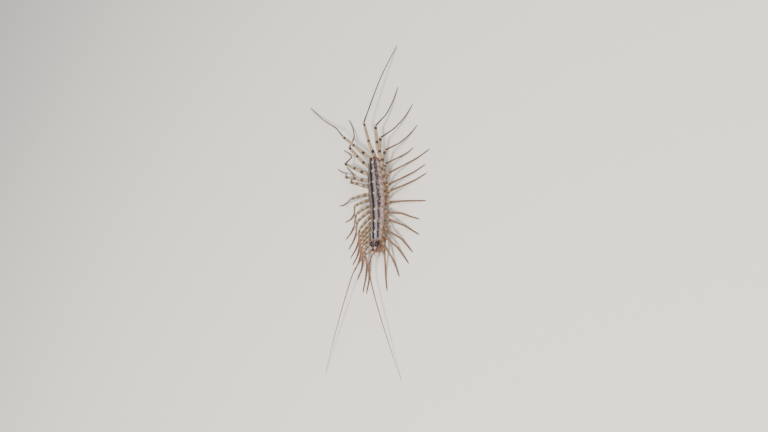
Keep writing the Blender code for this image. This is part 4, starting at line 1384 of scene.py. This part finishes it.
# ------------------------------------------------------------------- mouthparts
def build_fang(side_name):
    side = 1 if side_name == "left" else -1
    marks = [on_head(side * 0.58, 0.16, 1.54), on_head(side * 1.00, 0.80, 1.46),
             on_head(side * 1.02, 1.60, 1.38), on_head(side * 0.84, 2.20, 1.36),
             on_head(side * 0.52, 2.66, 1.40), on_head(side * 0.20, 2.92, 1.50)]
    line = through([marks[0] * 2 - marks[1], *marks, marks[-1] * 2 - marks[-2]], 40)
    total = np.sum(np.linalg.norm(np.diff(line, axis=0), axis=1))
    shape = Shape()
    cuts = [0.0, 0.30, 0.52, 0.64, 1.0]
    radii = [(0.30, 0.36), (0.34, 0.29), (0.265, 0.245), (0.22, 0.015)]
    for i, (a, b) in enumerate(zip(cuts, cuts[1:])):
        s = np.linspace(max(0, a * total - 0.05), b * total, 30)
        t = (s - s[0]) / (s[-1] - s[0])
        r0, r1 = radii[i]
        radius = r0 + (r1 - r0) * (t if i < 3 else t ** 1.25)
        if i < 3:
            radius = radius * (0.86 + 0.14 * np.sin(math.pi * np.clip(t, 0.05, 0.95)) ** 0.4)
        tint = mix(CLAW * np.ones((30, 1)), REDDISH, 0.30 * t)
        if i == 3:
            tint = mix(tint, CLAW_TIP, ease((t - 0.60) / 0.35))
        path = resample(line, s)
        along, across, rise = tube(shape, path, radius, 22, tint, cap=0.4)
        if i < 3:
            bases, directions = [], []
            for _ in range(22):
                j = RNG.integers(2, 28)
                turn = RNG.uniform(0, 2 * math.pi)
                spoke = math.cos(turn) * across[j] + math.sin(turn) * rise[j]
                bases.append(path[j] + spoke * radius[j] * 0.98)
                directions.append(spoke + along[j] * 0.6)
            spines(shape, bases, directions, RNG.uniform(0.10, 0.20, 22), 0.010, BRISTLE)
    return shape.build("fang_%s_claw" % side_name, CLAW_SHELL, ["fang_%s" % side_name])


def build_fang_base():
    shape = Shape()
    centre = on_head(0.0, 0.42, 1.62)
    down = vec(0, 0, -1)
    forward = unit(on_head(0, 2.0, 0) - on_head(0, 1.0, 0))
    dome(shape, centre, down, forward, (0.52, 0.62, 0.24), mix(CLAW, COXA, 0.5), rows=16, around=36)
    bases, directions = [], []
    for k in range(8):
        x = -0.35 + 0.1 * k
        bases.append(on_head(x, 0.88, 1.56))
        directions.append(forward + vec(0, 0, -0.2))
    spines(shape, bases, directions, 0.16, 0.024, CLAW_TIP)
    return shape.build("fang_base", CLAW_SHELL)


def build_palp(side_name):
    """Slim jointed palp beside the jaws."""
    side = 1 if side_name == "left" else -1
    marks = [on_head(side * 0.44, 2.30, 2.02), on_head(side * 0.64, 2.78, 2.02),
             on_head(side * 0.66, 3.22, 1.72), on_head(side * 0.46, 3.46, 1.28),
             on_head(side * 0.34, 3.50, 0.96)]
    line = through([marks[0] * 2 - marks[1], *marks, marks[-1] * 2 - marks[-2]], 30)
    total = np.sum(np.linalg.norm(np.diff(line, axis=0), axis=1))
    shape = Shape()
    cuts, radii = [0.0, 0.30, 0.58, 0.80, 1.0], [0.125, 0.105, 0.09, 0.08]
    for i, (a, b) in enumerate(zip(cuts, cuts[1:])):
        s = np.linspace(max(0, a * total - 0.04), b * total, 18)
        t = (s - s[0]) / (s[-1] - s[0])
        radius = radii[i] * (0.80 + 0.25 * np.sin(math.pi * np.clip(t, 0.05, 0.95)) ** 0.5)
        if i == 3:
            radius = radius * (1 - 0.6 * t ** 2)
        tint = mix(mix(FACE, PALE, 0.3) * np.ones((18, 1)), BROWN, ease(t) * 0.4)
        path = resample(line, s)
        along, across, rise = tube(shape, path, radius, 14, tint, cap=0.5)
        bases, directions = [], []
        for _ in range(16 if i < 3 else 26):
            j = RNG.integers(2, 17)
            turn = RNG.uniform(0, 2 * math.pi)
            spoke = math.cos(turn) * across[j] + math.sin(turn) * rise[j]
            bases.append(path[j] + spoke * radius[j] * 0.97)
            directions.append(spoke + along[j] * 0.8)
        spines(shape, bases, directions, RNG.uniform(0.08, 0.18, len(bases)), 0.008, BRISTLE)
    return shape.build("palp_%s" % side_name, HEAD_SHELL)


# ------------------------------------------------------------------ make it all
build_trunk()
front = TRUNK_FRONT_Y + 0.05
for index, rear in enumerate(PLATE_REAR_Y, start=1):
    end = rear + (PLATE_OVERHANG if index < len(PLATE_REAR_Y) else 0.0)
    build_plate(index, front, end)
    front = rear
build_head()
build_fang_base()
for side_name in ("left", "right"):
    build_eye(side_name)
    build_antenna(side_name)
    build_fang(side_name)
    build_palp(side_name)
    for pair in range(1, LEG_PAIRS + 1):
        build_leg(side_name, pair)

# --------------------------------------------------------------------- setting
mesh = bpy.data.meshes.new("floor")
mesh.from_pydata([(-6, -6, 0), (6, -6, 0), (6, 6, 0), (-6, 6, 0)], [],
                 [(0, 1, 2, 3)])
floor = bpy.data.objects.new("floor", mesh)
bpy.context.scene.collection.objects.link(floor)
floor_mat, floor_tree, floor_shader = new_material("floor_pale")
floor_shader.inputs["Base Color"].default_value = (0.86, 0.80, 0.715, 1)
floor_shader.inputs["Roughness"].default_value = 0.75
floor_shader.inputs["Specular IOR Level"].default_value = 0.2
mesh.materials.append(floor_mat)

world = bpy.data.worlds.new("studio")
bpy.context.scene.world = world
world.use_nodes = True
world.node_tree.nodes["Background"].inputs["Color"].default_value = (0.93, 0.95, 1.0, 1)
world.node_tree.nodes["Background"].inputs["Strength"].default_value = 0.74


def area_light(name, place, target, size, power, colour):
    data = bpy.data.lights.new(name, "AREA")
    data.shape = "DISK"
    data.size = size
    data.energy = power
    data.color = colour
    light = bpy.data.objects.new(name, data)
    light.location = place
    light.rotation_euler = (Vector(target) - Vector(place)).to_track_quat("-Z", "Y").to_euler()
    bpy.context.scene.collection.objects.link(light)
    return light


MIDDLE = (0.006, -0.004, 0.0)
area_light("key", (0.075, -0.21, 0.42), MIDDLE, 0.11, 2.7, (1.0, 0.955, 0.90))
area_light("fill", (0.9, 0.5, 1.0), MIDDLE, 0.9, 8.0, (0.92, 0.95, 1.0))

camera_data = bpy.data.cameras.new("camera")
camera_data.lens = 27.12
camera_data.sensor_width = 36.0
camera_data.clip_start, camera_data.clip_end = 0.005, 10.0
camera = bpy.data.objects.new("camera", camera_data)
bpy.context.scene.collection.objects.link(camera)
# the animal stands on the floor and the camera looks down at it from the left
to_right = Vector((0.781064, -0.002004, -0.624448)).normalized()
forward = Vector((-0.552431, 0.464006, -0.692473)).normalized()
upward = to_right.cross(forward).normalized()
turn = Matrix((to_right, upward, -forward)).transposed().to_4x4()
camera.matrix_world = Matrix.Translation((0.092646, -0.077893, 0.106)) @ turn
bpy.context.scene.camera = camera
